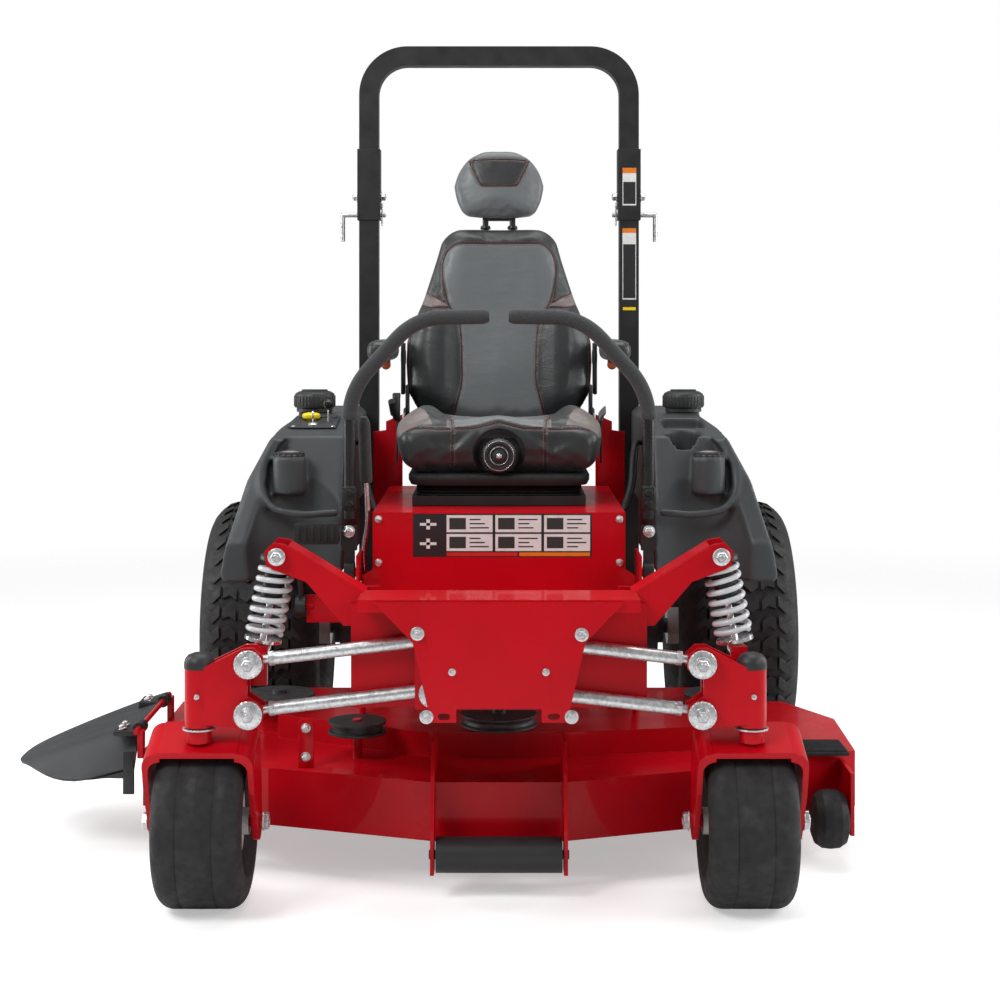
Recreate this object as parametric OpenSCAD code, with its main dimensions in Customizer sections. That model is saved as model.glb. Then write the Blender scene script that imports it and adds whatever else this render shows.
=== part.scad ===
// Commercial zero turn mower with a folding roll bar, a suspended front end and a side discharge deck.
// X runs across the machine, Y runs rearward and Z is up. Ground is Z = 0.
// Right and left are the operator's: the discharge side is right, at negative X.

/* [Wheels] */
// Outside diameter of the rear drive tyres
rear_tyre_d = 660; // [640:5:670]
// Width of the rear drive tyres
rear_tyre_w = 300; // [280:5:305]
// Distance from the centreline to the middle of a rear tyre
rear_half_track = 607; // [605:1:620]
// Outside diameter of the caster tyres
caster_tyre_d = 330; // [310:2:334]
// Width of the caster tyres
caster_tyre_w = 172; // [150:2:176]
// Distance from the caster axles to the rear axle
wheelbase = 1300; // [1295:1:1310]
// Distance from the middle of the front axle to each kingpin
caster_half_track = 529; // [525:1:532]
// How far the front axle sits towards the discharge side
caster_shift = 45; // [40:1:46]

/* [Roll bar] */
// Outside size of the square roll bar tube
rops_tube = 50.8; // [48:0.2:52]
// Width over the roll bar posts
rops_w = 737.6; // [736:0.2:740]
// Height of the top of the roll bar
rops_h = 1866; // [1800:2:1900]
// Height of the fold pivots
rops_pivot_z = 1470; // [1440:1:1480]

/* [Seat] */
// Width of the seat cushion
seat_w = 476; // [440:2:480]
// Height of the underside of the seat cushion
seat_z = 804; // [802:1:806]

/* [Deck] */
// Height of the lower edge of the deck in the cut height shown
deck_lip_z = 95; // [90:1:97]
// Height of the deck's skirt
deck_skirt_h = 119; // [117:1:121]
// Thickness of the deck's sheet
deck_t = 5; // [4:0.5:6]
// Radius swept by each blade
blade_r = 260; // [250:1:261]

/* [Hidden] */
$fn = 64;

paint = [0.72, 0.03, 0.06];
black = [0.09, 0.09, 0.1];
grey = [0.25, 0.26, 0.27];
zinc = [0.72, 0.73, 0.74];

// Running clearance on a radius
fit = 0.08;
front_y = -wheelbase / 2;
rear_y = wheelbase / 2;
rail_in = 235;
rail_out = 285;
rail_z = [400, 475];

// Front suspension: each side has two equal links between the frame and an upright
kingpin_y = front_y - 80;
link_y = -728;
link_in = 80;
link_out = caster_half_track - 98.5;
link_rise = 41;
upper_z = 493;
lower_z = 397;
bolt_r = 8;
damper_y = -660;
damper_top = [428, 690];
damper_foot = [464, 505];

// The deck's plan: front edge in the middle, then out and back
deck_plan = [[-770, -275], [-640, -325], [-480, -425], [-135, -545], [135, -545], [480, -425],
    [640, -325], [770, -275], [782, 40], [690, 235], [-770, 235], [-770, 70]];
deck_top_z = deck_lip_z + deck_skirt_h;
plateau_plan = [[-490, -150], [-244, -280], [-150, -325], [150, -325], [430, -272], [520, -200],
    [560, 150], [-560, 150]];
plateau_h = 51;
spindle_x = 502;
spindle_mid_y = -265;
spindle_side_y = -53;

// The origin is the middle of the whole machine's footprint
chute_len = 300;
chute_drop = 20;
chute_t = 7;
chute_hinge_x = -778;
x_left = chute_hinge_x - 8 - chute_len * cos(chute_drop) - chute_t * sin(chute_drop);
x_right = deck_plan[8][0];
y_front = front_y - caster_tyre_d / 2;
y_back = 1180;
module place() {
    translate([-(x_left + x_right) / 2, -(y_front + y_back) / 2, 0]) children();
}

// Middle of the front axle plus or minus a distance
function axle_x(side, d) = -caster_shift + side * d;

module box(x, y, z) {
    translate([min(x), min(y), min(z)]) cube([abs(x[1] - x[0]), abs(y[1] - y[0]), abs(z[1] - z[0])]);
}

// A round bar between two points
module bar(p, q, r) {
    v = q - p;
    translate(p) rotate([0, acos(v[2] / norm(v)), atan2(v[1], v[0])]) cylinder(r = r, h = norm(v));
}

// A round bar or hole along X or Y, centred on a point
module along_x(p, r, len) { translate(p) rotate([0, 90, 0]) cylinder(r = r, h = len, center = true); }
module along_y(p, r, len) { translate(p) rotate([90, 0, 0]) cylinder(r = r, h = len, center = true); }

// A plate whose outline is drawn in X and Z and which is thick along Y
module plate_xz(points, y, t) {
    translate([0, y + t, 0]) rotate([90, 0, 0]) linear_extrude(t) polygon(points);
}

// A plate whose outline is drawn in Y and Z and which is thick along X
module plate_yz(points, x, t) {
    translate([x, 0, 0]) rotate([90, 0, 90]) linear_extrude(t) polygon(points);
}

module side(s) { mirror([s < 0 ? 1 : 0, 0, 0]) children(); }

// ---------------------------------------------------------------- frame
module tower_arm() {
    outline = [[235, 556], [235, 620], [262, 620], [412, 712], [436, 716], [452, 700], [450, 674],
        [436, 664], [372, 640], [300, 556]];
    plate_xz(outline, -705, 8);
    plate_xz(outline, -623, 8);
    translate([262, -697.5, 613]) rotate([0, -31.5, 0]) cube([175, 75, 7]);
    box([235, 285], [-697, -623], [556, 564]);
    along_y([damper_top[0], -660, damper_top[1]], bolt_r, 84);
    along_y([damper_top[0], -710, damper_top[1]], 13, 10);
}

module main_frame() color(paint) difference() {
    union() {
        for (s = [-1, 1]) side(s) {
            box([rail_in, rail_out], [-700, 1180], rail_z);
            tower_arm();
            box([rail_in, rail_out], [-700, -640], [475, 560]);
            box([rail_out, 297], [560, 740], [240, 475]);
            box([rail_out, 317.5], [590, 650], [420, 475]);
            box([rail_out, 306], [-320, -180], [445, 475]);
            box([300, 306], [-320, -180], [475, 640]);
            along_x([320, -275, 600], 10, 30);
            box([rail_in, rail_out], [1140, 1180], [475, 640]);
        }
        box([-285, 285], [-712, -700], [400, 600]);
        box([-160, 95], [-756, -744], [405, 600]);
        box([-75, -15], [-744, -712], [405, 600]);
        box([-266, 266], [-799, -672], [596, 620]);
        for (y = [-690, 380, 1050]) box([-235, 235], [y, y + 50], rail_z);
        box([-285, 285], [520, 1060], [475, 483]);
        for (z = [400, 600]) box([-285, 285], [1140, 1180], [z, z + 40]);
        box([-60, 60], [1060, 1160], [390, 400]);
        along_x([-293, -215, 560], 8, 14);
        box([-420, -306], [-238, -226], [485, 545]);
        along_x([-425, -232, 520], 8, 40);
    }
    for (s = [-1, 1], z = [upper_z, lower_z])
        along_y([axle_x(s, link_in), -728, z + link_rise], bolt_r + fit, 100);
    translate([0, 1120, 380]) cylinder(r = 9.5, h = 40);
    translate([0, 800, 470]) cylinder(r = 32, h = 20);
}

module front_cover() color(paint) difference() {
    union() {
        plate_xz([[-235, 616], [235, 616], [162, 541], [133.5, 417], [133.5, 391], [80, 391], [80, 417],
            [-80, 417], [-80, 391], [-133.5, 391], [-133.5, 417], [-162, 541]], -806, 6);
    }
    for (s = [-1, 1]) {
        for (dx = [-5.5, 5.5]) along_y([s * 103 + dx, -803, 402], 6, 20);
        box([s * 103 - 5.5, s * 103 + 5.5], [-815, -795], [396, 408]);
    }
}

module foot_pan() color(paint) {
    box([-232, 232], [-604, -250], [475, 479]);
    box([-279, 279], [-560, -250], [475, 479]);
    plate_yz([[-604, 479], [-600, 475], [-596, 479], [-664, 600], [-670, 600]], -232, 464);
    plate_xz([[-275, 727], [275, 727], [275, 603], [297, 590], [297, 479], [-297, 479], [-297, 590],
        [-275, 603]], -254, 4);
    box([-275, 275], [-250, 378], [723, 727]);
    for (s = [-1, 1]) side(s) box([271, 275], [-250, 378], [479, 723]);
    box([-275, 275], [374, 378], [479, 727]);
}

// ---------------------------------------------------------------- fuel tanks that are also the fenders
module tank_body() difference() {
    union() {
        plate_body();
        translate([441, 150, 900]) cylinder(r = 38, h = 35);
    }
    translate([300, 100, 921]) rotate([9, 0, 0]) translate([0, -500, 0]) cube([400, 500, 200]);
    translate([300, -250, 680]) rotate([-24, 0, 0]) translate([0, -300, -20]) cube([400, 300, 400]);
    // Hollow for the operator's leg
    translate([420, -345, 560]) rotate([-6, 0, 0]) cylinder(r = 150, h = 330);
}

module plate_body() {
    plate_xz([[346, 590], [346, 905], [362, 921], [470, 921], [502, 896], [556, 790], [598, 640],
        [606, 590], [600, 577], [358, 577]], -262, 575);
    plate_xz([[346, 700], [346, 905], [362, 921], [470, 921], [502, 896], [556, 790], [584, 690],
        [358, 690]], 313, 245);
}

module right_tank() color(grey) difference() {
    side(-1) tank_body();
    box([-404, -386], [-45, 45], [800, 960]);
    translate([-436, 20, 800]) cylinder(r = 6 + fit, h = 200);
}

module throttle_pin() color(zinc) along_x([-395, 0, 850], 4, 18);

module left_tank() color(grey) difference() {
    union() {
        tank_body();
        translate([414, -100, 790]) cylinder(r = 49, h = 96);
    }
    translate([414, -100, 806]) cylinder(r = 41, h = 100);
    box([378, 470], [-40, 60], [885, 960]);
}

module fuel_cap(s) color(black) translate([s * 441, 150, 936]) {
    cylinder(r = 46, h = 12);
    for (i = [0 : 11]) rotate(i * 30) translate([44, 0, 8]) cylinder(r = 6, h = 24);
    translate([0, 0, 8]) cylinder(r = 46, h = 24);
    translate([0, 0, 32]) cylinder(r1 = 45, r2 = 30, h = 10);
}

module right_fuel_cap() fuel_cap(-1);
module left_fuel_cap() fuel_cap(1);

module blade_knob() color("gold") translate([-436, 20, 0]) {
    translate([0, 0, 870]) cylinder(r = 6, h = 52);
    translate([0, 0, 914]) cylinder(r = 17, h = 12);
    translate([0, 0, 926]) cylinder(r1 = 17, r2 = 10, h = 7);
}

module throttle_lever() color(black) difference() {
    union() {
        box([-398, -392], [-5, 5], [850, 945]);
        along_x([-395, 0, 850], 11, 6);
        translate([-395, 0, 950]) sphere(r = 11);
    }
    along_x([-395, 0, 850], 4 + fit, 40);
}

// ---------------------------------------------------------------- hand and foot controls
lever_x = 323;
lever_y = -275;

// Rocks fore and aft on a stub of the frame, and carries the lever's swing pivot
module lever_base(s) color(black) side(s) difference() {
    union() {
        along_x([lever_x, lever_y, 600], 24, 22);
        box([lever_x - 11, lever_x + 11], [lever_y - 9, lever_y + 9], [600, 655]);
        box([lever_x - 16, lever_x + 16], [lever_y - 9, lever_y + 9], [648, 700]);
        along_y([lever_x, lever_y, 690], 7, 44);
    }
    along_x([lever_x, lever_y, 600], 10 + fit, 60);
}

module right_lever_base() lever_base(-1);
module left_lever_base() lever_base(1);

// Steering lever: an upright tube bent inward, with a soft grip over the bend and the handle
module lever(s) color(black) side(s) {
    difference() {
        union() {
            for (dy = [-16, 11])
                box([lever_x - 15, lever_x + 15], [lever_y + dy, lever_y + dy + 5], [674, 730]);
            box([lever_x - 15, lever_x + 15], [lever_y - 16, lever_y + 16], [712, 730]);
        }
        along_y([lever_x, lever_y, 690], 7 + fit, 60);
    }
    elbow = [lever_x, lever_y, 992];
    bend = [182, lever_y, 1150];
    bar([lever_x, lever_y, 720], elbow, 12.7);
    translate(elbow) sphere(r = 18);
    bar(elbow, bend, 16.5);
    translate(bend) sphere(r = 18);
    bar(bend, [22, lever_y, 1154], 16.5);
}

module right_lever() lever(-1);
module left_lever() lever(1);

module brake_lever() color(zinc) {
    difference() {
        along_x([-292.5, -215, 560], 18, 11);
        along_x([-292.5, -215, 560], 8 + fit, 40);
    }
    knee = [-287, -222, 700];
    grip_start = [-290, -229, 790];
    grip_end = knee + 2.55 * (grip_start - knee);
    bar([-291, -217, 574], knee, 6);
    translate(knee) sphere(r = 8);
    bar(knee, grip_start + 0.2 * (grip_end - grip_start), 6);
    color(black) bar(grip_start, grip_end, 13);
}

module lift_pedal() color(black) {
    difference() {
        union() {
            along_x([-433, -232, 520], 24, 22);
            plate_yz([[-222, 532], [-246, 532], [-330, 680], [-330, 704], [-312, 704]], -436, 8);
        }
        along_x([-431, -232, 520], 8 + fit, 40);
    }
    box([-432, -342], [-358, -300], [672, 712]);
}

// ---------------------------------------------------------------- roll bar
module rops_posts() color(black) for (s = [-1, 1]) side(s) difference() {
    x = [rops_w / 2 - rops_tube, rops_w / 2];
    mid = rops_w / 2 - rops_tube / 2;
    union() {
        box(x, [620 - rops_tube / 2, 620 + rops_tube / 2], [420, rops_pivot_z]);
        along_x([mid, 620, rops_pivot_z], rops_tube / 2, rops_tube);
    }
    along_x([mid, 620, rops_pivot_z - 48], 6.5, 100);
    along_x([mid, 620, rops_pivot_z], 6.4, 100);
}

// The upper hoop: a square tube with round corners, in cheeks that straddle the posts
module rops_hoop() color(black) {
    half = rops_w / 2;
    bend = 128;
    y = [620 - rops_tube / 2, 620 + rops_tube / 2];
    for (s = [-1, 1]) side(s) {
        mid = half - rops_tube / 2;
        box([half - rops_tube, half], y, [rops_pivot_z + 31, rops_h - bend]);
        translate([half - bend, 620 + rops_tube / 2, rops_h - bend]) rotate([90, 0, 0])
            rotate_extrude(angle = 90) translate([bend - rops_tube, 0]) square(rops_tube);
        difference() {
            union() {
                for (dx = [-rops_tube / 2 - 4.6, rops_tube / 2 + 0.6])
                    box([mid + dx, mid + dx + 4], [590, 646], [rops_pivot_z - 62, rops_pivot_z + 125]);
                box([mid - 30, mid + 30], [590, 593.8], [rops_pivot_z - 62, rops_pivot_z + 125]);
                box([mid - 30, mid + 30], y, [rops_pivot_z + 60, rops_pivot_z + 125]);
            }
            box([mid - 40, mid + 40], [620 - 6.6, 660], [rops_pivot_z - 54.6, rops_pivot_z - 32]);
            // The cheeks wrap the tube above the pivot and leave room for the post below it
            box([mid - 25.4, mid + 25.4], y, [rops_pivot_z + 31, rops_pivot_z + 125]);
        }
        along_x([mid, 620, rops_pivot_z], 6.3, 80);
    }
    box([-(half - bend), half - bend], y, [rops_h - rops_tube, rops_h]);
}

module rops_pin(s) color(zinc) side(s) {
    z = rops_pivot_z - 48;
    bar([300, 620, z], [414, 620, z], 6.35);
    translate([414, 620, z]) sphere(r = 6.35);
    bar([414, 620, z], [414, 620, z - 70], 6.35);
}

module right_rops_pin() rops_pin(-1);
module left_rops_pin() rops_pin(1);

// ---------------------------------------------------------------- seat
module seat_base() color(black) {
    box([-195, 195], [-120, 250], [728, 750]);
    for (s = [-1, 1]) box([s * 150, s * 110], [-60, 200], [750, 754]);
}

module seat_carriage() color(black) {
    box([-206, 206], [-132, 262], [786, 797]);
    for (s = [-1, 1]) side(s) box([200, 206], [-132, 262], [760, 786]);
    for (y = [-132, 256]) box([-206, 206], [y, y + 6], [760, 786]);
    for (s = [-1, 1]) box([s * 170, s * 140], [-110, 240], [797, 801]);
}

module seat_cushion() color(black) {
    difference() {
        union() {
            box([-seat_w / 2 + 30, seat_w / 2 - 30], [-112, 238], [seat_z, 908]);
            for (s = [-1, 1]) side(s)
                plate_yz([[-140, 826], [-120, seat_z], [238, seat_z], [238, 944], [-60, 925], [-132, 890]],
                    150, seat_w / 2 - 150);
            box([-150, 150], [-140, -112], [seat_z + 10, 895]);
        }
        // Recess that the weight knob stands in
        along_y([0, -140, 842], 52, 24);
    }
}

module seat_knob() color(black) {
    along_y([0, -143, 842], 38, 28);
    along_y([0, -160, 842], 30, 8);
}

// The backrest and headrest lean together about the recline hinge
recline = [300, 905];
back_lean = 9;
post_x = 34;
arm_pivot = [330, 1052];
module leaning() translate([0, recline[0], recline[1]]) rotate([-back_lean, 0, 0]) children();

module seat_back() color(black) {
    leaning() difference() {
        plate_xz([[-190, -20], [-238, 60], [-240, 190], [-215, 260], [-165, 400], [-150, 455], [-120, 478],
            [120, 478], [150, 455], [165, 400], [215, 260], [240, 190], [238, 60], [190, -20]], -32, 84);
        for (s = [-1, 1]) translate([s * post_x, 10, 300]) cylinder(r = 7 + fit, h = 200);
    }
    along_x([0, arm_pivot[0], arm_pivot[1]], 8, 600);
    along_x([0, recline[0], recline[1]], 14, 404);
}

module headrest() color(black) leaning() {
    plate_xz([[-96, 508], [-118, 552], [-116, 622], [-92, 668], [92, 668], [116, 622], [118, 552], [96, 508]],
        -38, 78);
    for (s = [-1, 1]) translate([s * post_x, 10, 400]) cylinder(r = 7, h = 130);
}

module armrest(s) color(black) side(s) difference() {
    union() {
        box([246, 312], [40, 345], [1046, 1098]);
        along_x([279, arm_pivot[0], arm_pivot[1]], 22, 66);
    }
    along_x([279, arm_pivot[0], arm_pivot[1]], 8 + fit, 80);
}

module right_armrest() armrest(-1);
module left_armrest() armrest(1);

// ---------------------------------------------------------------- power
module engine_block() color(grey) difference() {
    union() {
        box([-150, 150], [690, 930], [484, 640]);
        for (s = [-1, 1]) side(s) {
            for (i = [0 : 8]) box([150, 235], [720, 900], [500 + i * 16, 508 + i * 16]);
            box([150, 228], [745, 875], [500, 640]);
            bar([190, 930, 600], [190, 1020, 560], 20);
        }
        along_x([0, 1050, 545], 62, 420);
        translate([0, 800, 440]) cylinder(r = 28, h = 60);
        translate([0, 800, 418]) cylinder(r = 95, h = 24);
        translate([0, 800, 430]) cylinder(r = 70, h = 44);
    }
    translate([0, 800, 410]) cylinder(r = 12, h = 40);
}

module engine_shroud() color(black) {
    translate([0, 800, 642]) cylinder(r = 215, h = 60);
    translate([0, 800, 702]) cylinder(r1 = 215, r2 = 170, h = 50);
    translate([0, 800, 752]) cylinder(r = 120, h = 10);
    along_x([0, 985, 800], 78, 360);
    box([-60, 60], [860, 985], [740, 790]);
}

module wheel_motors() color(grey) for (s = [-1, 1]) side(s) {
    along_x([358, rear_y, rear_tyre_d / 2], 78, 120);
    along_x([425, rear_y, rear_tyre_d / 2], 45, 20);
    along_x([480, rear_y, rear_tyre_d / 2], 20, 110);
    box([300, 330], [548, 588], [340, 440]);
}

// ---------------------------------------------------------------- wheels
// Tyre section across its width, between the rim radius and the tread
module tyre(od, id, w, shoulder) {
    r = od / 2;
    ri = id / 2;
    rotate([0, 90, 0]) rotate_extrude($fn = 96) polygon(concat(
        [[ri, -w * 0.38], [ri + 14, -w * 0.44]],
        [for (a = [0 : 15 : 90]) [r - shoulder + shoulder * sin(a), -w / 2 + shoulder - shoulder * cos(a)]],
        [for (a = [90 : -15 : 0]) [r - shoulder + shoulder * sin(a), w / 2 - shoulder + shoulder * cos(a)]],
        [[ri + 14, w * 0.44], [ri, w * 0.38]]));
}

module caster_tyre(s) color(black)
    translate([axle_x(s, caster_half_track), front_y, caster_tyre_d / 2])
        tyre(caster_tyre_d, 154, caster_tyre_w, 34);
module right_caster_tyre() caster_tyre(-1);
module left_caster_tyre() caster_tyre(1);

module caster_rim(s) color("gainsboro")
    translate([axle_x(s, caster_half_track), front_y, caster_tyre_d / 2]) rotate([0, 90, 0])
        rotate_extrude() polygon([[12.5 + fit, -86], [26, -86], [26, -30], [62, -18], [62, -64], [76.6, -66],
            [76.6, 66], [62, 64], [62, 0], [26, -6], [26, 86], [12.5 + fit, 86]]);
module right_caster_rim() caster_rim(-1);
module left_caster_rim() caster_rim(1);

module rear_tyre(s) color(black) translate([s * rear_half_track, rear_y, rear_tyre_d / 2])
    tyre(rear_tyre_d, 310, rear_tyre_w, 62);
module right_rear_tyre() rear_tyre(-1);
module left_rear_tyre() rear_tyre(1);

module rear_rim(s) color("gainsboro") side(s)
    translate([rear_half_track, rear_y, rear_tyre_d / 2]) rotate([0, 90, 0]) difference() {
        rotate_extrude() polygon([[20 + fit, -160], [48, -160], [48, -88], [138, -68], [138, -108],
            [154.5, -112], [154.5, 112], [138, 108], [138, -56], [48, -76], [48, -40], [20 + fit, -40]]);
        for (a = [0 : 72 : 288]) rotate(a) translate([95, 0, -90]) cylinder(r = 12, h = 40);
    }
module right_rear_rim() rear_rim(-1);
module left_rear_rim() rear_rim(1);

// ---------------------------------------------------------------- front suspension
// A link: tube, end eyes, jam nuts and the two bolts it turns with
module link(s, z) color(zinc) {
    inner = [axle_x(s, link_in), link_y, z + link_rise];
    outer = [axle_x(s, link_out), link_y, z];
    d = (outer - inner) / norm(outer - inner);
    bar(inner + 14 * d, outer - 44 * d, 12.7);
    bar(outer - 48 * d, outer - 14 * d, 8);
    for (p = [inner, outer]) {
        along_y(p, 18, 28);
        along_y(p, bolt_r, 56);
    }
    along_y(outer + [0, -20, 0], bolt_r, 30);
    bar(outer - 46 * d, outer - 35 * d, 14, $fn = 6);
    along_y(outer + [0, -32, 0], 18.5, 7);
    along_y(outer + [0, -36.5, 0], 12, 4);
}

module right_upper_link() link(-1, upper_z);
module left_upper_link() link(1, upper_z);
module right_lower_link() link(-1, lower_z);
module left_lower_link() link(1, lower_z);

// Two plates either side of the link eyes, joined to the kingpin's barrel
module upright(s) color(paint) difference() {
    x0 = axle_x(s, link_out);
    x1 = axle_x(s, caster_half_track);
    foot = s * damper_foot[0];
    union() {
        for (y = [-756, -712]) {
            plate_xz([[x0 - s * 26, upper_z + 12], [x0 - s * 8, upper_z + 28], [x0 + s * 12, upper_z + 28],
                [x1, upper_z - 14], [x1, lower_z - 20], [x0 + s * 12, lower_z - 28], [x0 - s * 8, lower_z - 28],
                [x0 - s * 26, lower_z - 12], [x0 - s * 26, lower_z + 12], [x0 + s * 4, lower_z + 32],
                [x0 + s * 4, upper_z - 32], [x0 - s * 26, upper_z - 12]], y, 12);
        }
        translate([x1, kingpin_y, 368]) cylinder(r = 28, h = 112);
        along_y([foot, damper_y, damper_foot[1]], bolt_r, 56);
        box([foot - 16, foot + 16], [-700, -688], [470, 515]);
        box([foot - 16, foot + 16], [-702, -688], [440, 480]);
    }
    translate([x1, kingpin_y, 300]) cylinder(r = 12.7 + fit, h = 300);
    for (z = [upper_z, lower_z]) along_y([x0, link_y, z], bolt_r + fit, 90);
}

module right_upright() upright(-1);
module left_upright() upright(1);

// A raked inverted U with the kingpin standing on its crown
rake = 20.07;
module fork(s) {
    x = axle_x(s, caster_half_track);
    color(paint) translate([x, 0, 0]) {
        difference() {
            translate([0, -711, 332]) rotate([rake, 0, 0]) difference() {
                union() {
                    translate([0, 55, 0]) rotate([90, 0, 0]) linear_extrude(110) difference() {
                        union() {
                            translate([-106, -172]) square([212, 152]);
                            translate([-76, -20]) square([152, 32]);
                            for (m = [-1, 1]) translate([m * 76, -20]) circle(r = 30);
                        }
                        union() {
                            translate([-95, -200]) square([190, 168]);
                            translate([-71, -40]) square([142, 40]);
                            for (m = [-1, 1]) translate([m * 71, -32]) circle(r = 24);
                        }
                    }
                    for (m = [-1, 1]) along_x([m * 100.5, 0, -178], 36, 11);
                }
                for (m = [-1, 1]) for (t = [-1, 1])
                    translate([m * 100, t * 67, -120]) rotate([t * -12, 0, 0])
                        cube([30, 40, 170], center = true);
            }
            along_x([0, front_y, caster_tyre_d / 2], 12.5, 260);
        }
        translate([0, kingpin_y, 338]) cylinder(r = 24, h = 28);
        translate([0, kingpin_y, 340]) cylinder(r = 12.7, h = 138);
    }
    color(zinc) {
        along_x([x, front_y, caster_tyre_d / 2], 12.5, 216);
        for (m = [-1, 1]) along_x([x + m * 113, front_y, caster_tyre_d / 2], 15, 14);
    }
}

module right_fork() fork(-1);
module left_fork() fork(1);

// Coil-over damper, in the direction from its upper eye to its lower one
damper_dir = [damper_foot[0] - damper_top[0], 0, damper_foot[1] - damper_top[1]];
damper_len = norm(damper_dir);
damper_tilt = atan2(damper_dir[0], -damper_dir[2]);

module damper_frame(s) side(s) translate([damper_top[0], damper_y, damper_top[1]])
    rotate([0, -damper_tilt, 0]) mirror([0, 0, 1]) children();

module damper(s) damper_frame(s) {
    color(black) difference() {
        union() {
            along_y([0, 0, 0], 16, 60);
            translate([0, 0, 8]) cylinder(r = 36, h = 8);
            translate([0, 0, 14]) cylinder(r = 21, h = 76);
        }
        along_y([0, 0, 0], bolt_r + fit, 80);
        translate([0, 0, 28]) cylinder(r = 7 + fit, h = 100);
    }
}
module right_damper() damper(-1);
module left_damper() damper(1);

module damper_rod(s) damper_frame(s) color(zinc) difference() {
    union() {
        translate([0, 0, 60]) cylinder(r = 7, h = damper_len - 70);
        translate([0, 0, damper_len - 22]) cylinder(r = 36, h = 7);
        along_y([0, 0, damper_len], 16, 44);
    }
    along_y([0, 0, damper_len], bolt_r + 1, 80);
}
module right_damper_rod() damper_rod(-1);
module left_damper_rod() damper_rod(1);

// A ring stack stands for the coil: each turn is a closed ring on a thin spine
spring_turns = 7;
module spring(s) damper_frame(s) color(zinc) {
    z0 = 21.5;
    z1 = damper_len - 27.5;
    for (i = [0 : spring_turns - 1])
        translate([0, 0, z0 + (z1 - z0) * i / (spring_turns - 1)]) rotate_extrude($fn = 48)
            translate([30, 0]) circle(r = 5, $fn = 16);
    translate([0, 30, z0]) cylinder(r = 2.5, h = z1 - z0);
}
module right_spring() spring(-1);
module left_spring() spring(1);

// ---------------------------------------------------------------- mower deck
// A plan moved inward by d: each corner slides along its mitre
function inset(plan, d) = [for (i = [0 : len(plan) - 1])
    let (before = plan[(i + len(plan) - 1) % len(plan)], here = plan[i], after = plan[(i + 1) % len(plan)],
        u = (here - before) / norm(here - before), v = (after - here) / norm(after - here),
        nu = [-u[1], u[0]], nv = [-v[1], v[0]])
    here + d * (nu + nv) / (1 + nu * nv)];

// An upside-down tray of sheet metal
module tray(plan, z0, h) difference() {
    translate([0, 0, z0]) linear_extrude(h) polygon(plan);
    translate([0, 0, z0 - 1]) linear_extrude(h - deck_t + 1) polygon(inset(plan, deck_t));
}

module deck_bracket(x) {
    plate_yz([[-540, 214], [-390, 214], [-460, 300], [-560, 300], [-600, 240], [-634, 140], [-634, 52],
        [-586, 52], [-572, 130]], x, 8);
}

spindle_at = [[-spindle_x, spindle_side_y], [0, spindle_mid_y], [spindle_x, spindle_side_y]];
deck_wheel_at = [694, -390, 98];
idler_at = [-302, -330];

module deck_shell() color(paint) difference() {
    union() {
        difference() {
            tray(deck_plan, deck_lip_z, deck_skirt_h);
            translate([0, 0, deck_top_z - 20]) linear_extrude(30) polygon(inset(plateau_plan, deck_t));
            // The discharge opening
            box([-800, -760], [-255, 60], [deck_lip_z - 10, deck_top_z - deck_t]);
        }
        tray(plateau_plan, deck_top_z - deck_t, plateau_h + deck_t);
        for (x = [-136, 128]) deck_bracket(x);
        for (p = spindle_at) translate([p[0], p[1], 150]) cylinder(r = 48, h = deck_top_z + plateau_h - 150);
        box([733, 741], [-420, -280], [70, 200]);
        along_x(deck_wheel_at + [8, 0, 0], 8, 84);
        for (y = [-308, 48]) box([-776, -764], [y, y + 28], [205, 262]);
        along_y([chute_hinge_x, -112, 262], 6, 400);
        for (s = [-1, 1], y = [-140, 120]) translate([s * 305, y, 255]) cylinder(r = 7, h = 150);
        translate([idler_at[0], idler_at[1], 205]) cylinder(r = 10, h = 90);
    }
    for (p = spindle_at) translate([p[0], p[1], 100]) cylinder(r = 15 + fit, h = 300);
    along_x([0, -610, 87], 9 + fit, 400);
}

module spindle(x, y) color(grey) translate([x, y, 0]) {
    translate([0, 0, 112]) cylinder(r = 15, h = 190);
    translate([0, 0, 268]) difference() {
        cylinder(r = 82, h = 26);
        translate([0, 0, 13]) rotate_extrude() translate([82, 0]) circle(r = 9);
    }
    translate([0, 0, 102]) cylinder(r = 14, h = 14, $fn = 6);
    translate([0, 0, 120]) intersection() {
        box([-blade_r, blade_r], [-32, 32], [0, 6]);
        cylinder(r = blade_r, h = 6);
    }
    for (a = [0, 180]) rotate(a) translate([170, 18, 124]) rotate([28, 0, 0]) cube([85, 26, 4]);
}
module right_spindle() spindle(-spindle_x, spindle_side_y);
module middle_spindle() spindle(0, spindle_mid_y);
module left_spindle() spindle(spindle_x, spindle_side_y);

module idler_pulley() color(black) translate([idler_at[0], idler_at[1], 0]) difference() {
    union() {
        translate([0, 0, 266]) cylinder(r = 62, h = 5);
        translate([0, 0, 271]) cylinder(r = 52, h = 16);
        translate([0, 0, 287]) cylinder(r = 62, h = 5);
    }
    translate([0, 0, 200]) cylinder(r = 10 + fit, h = 200);
}

module front_roller() color(black) {
    along_x([0, -610, 87], 35, 250);
    along_x([0, -610, 87], 9, 278);
}

module deck_wheel() color(black) translate(deck_wheel_at) rotate([0, 90, 0]) difference() {
    rotate_extrude() polygon([[0, -38], [34, -38], [50, -32], [59, -18], [61, 0], [59, 18], [50, 32], [34, 38],
        [0, 38]]);
    cylinder(r = 8 + fit, h = 200, center = true);
}

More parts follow.
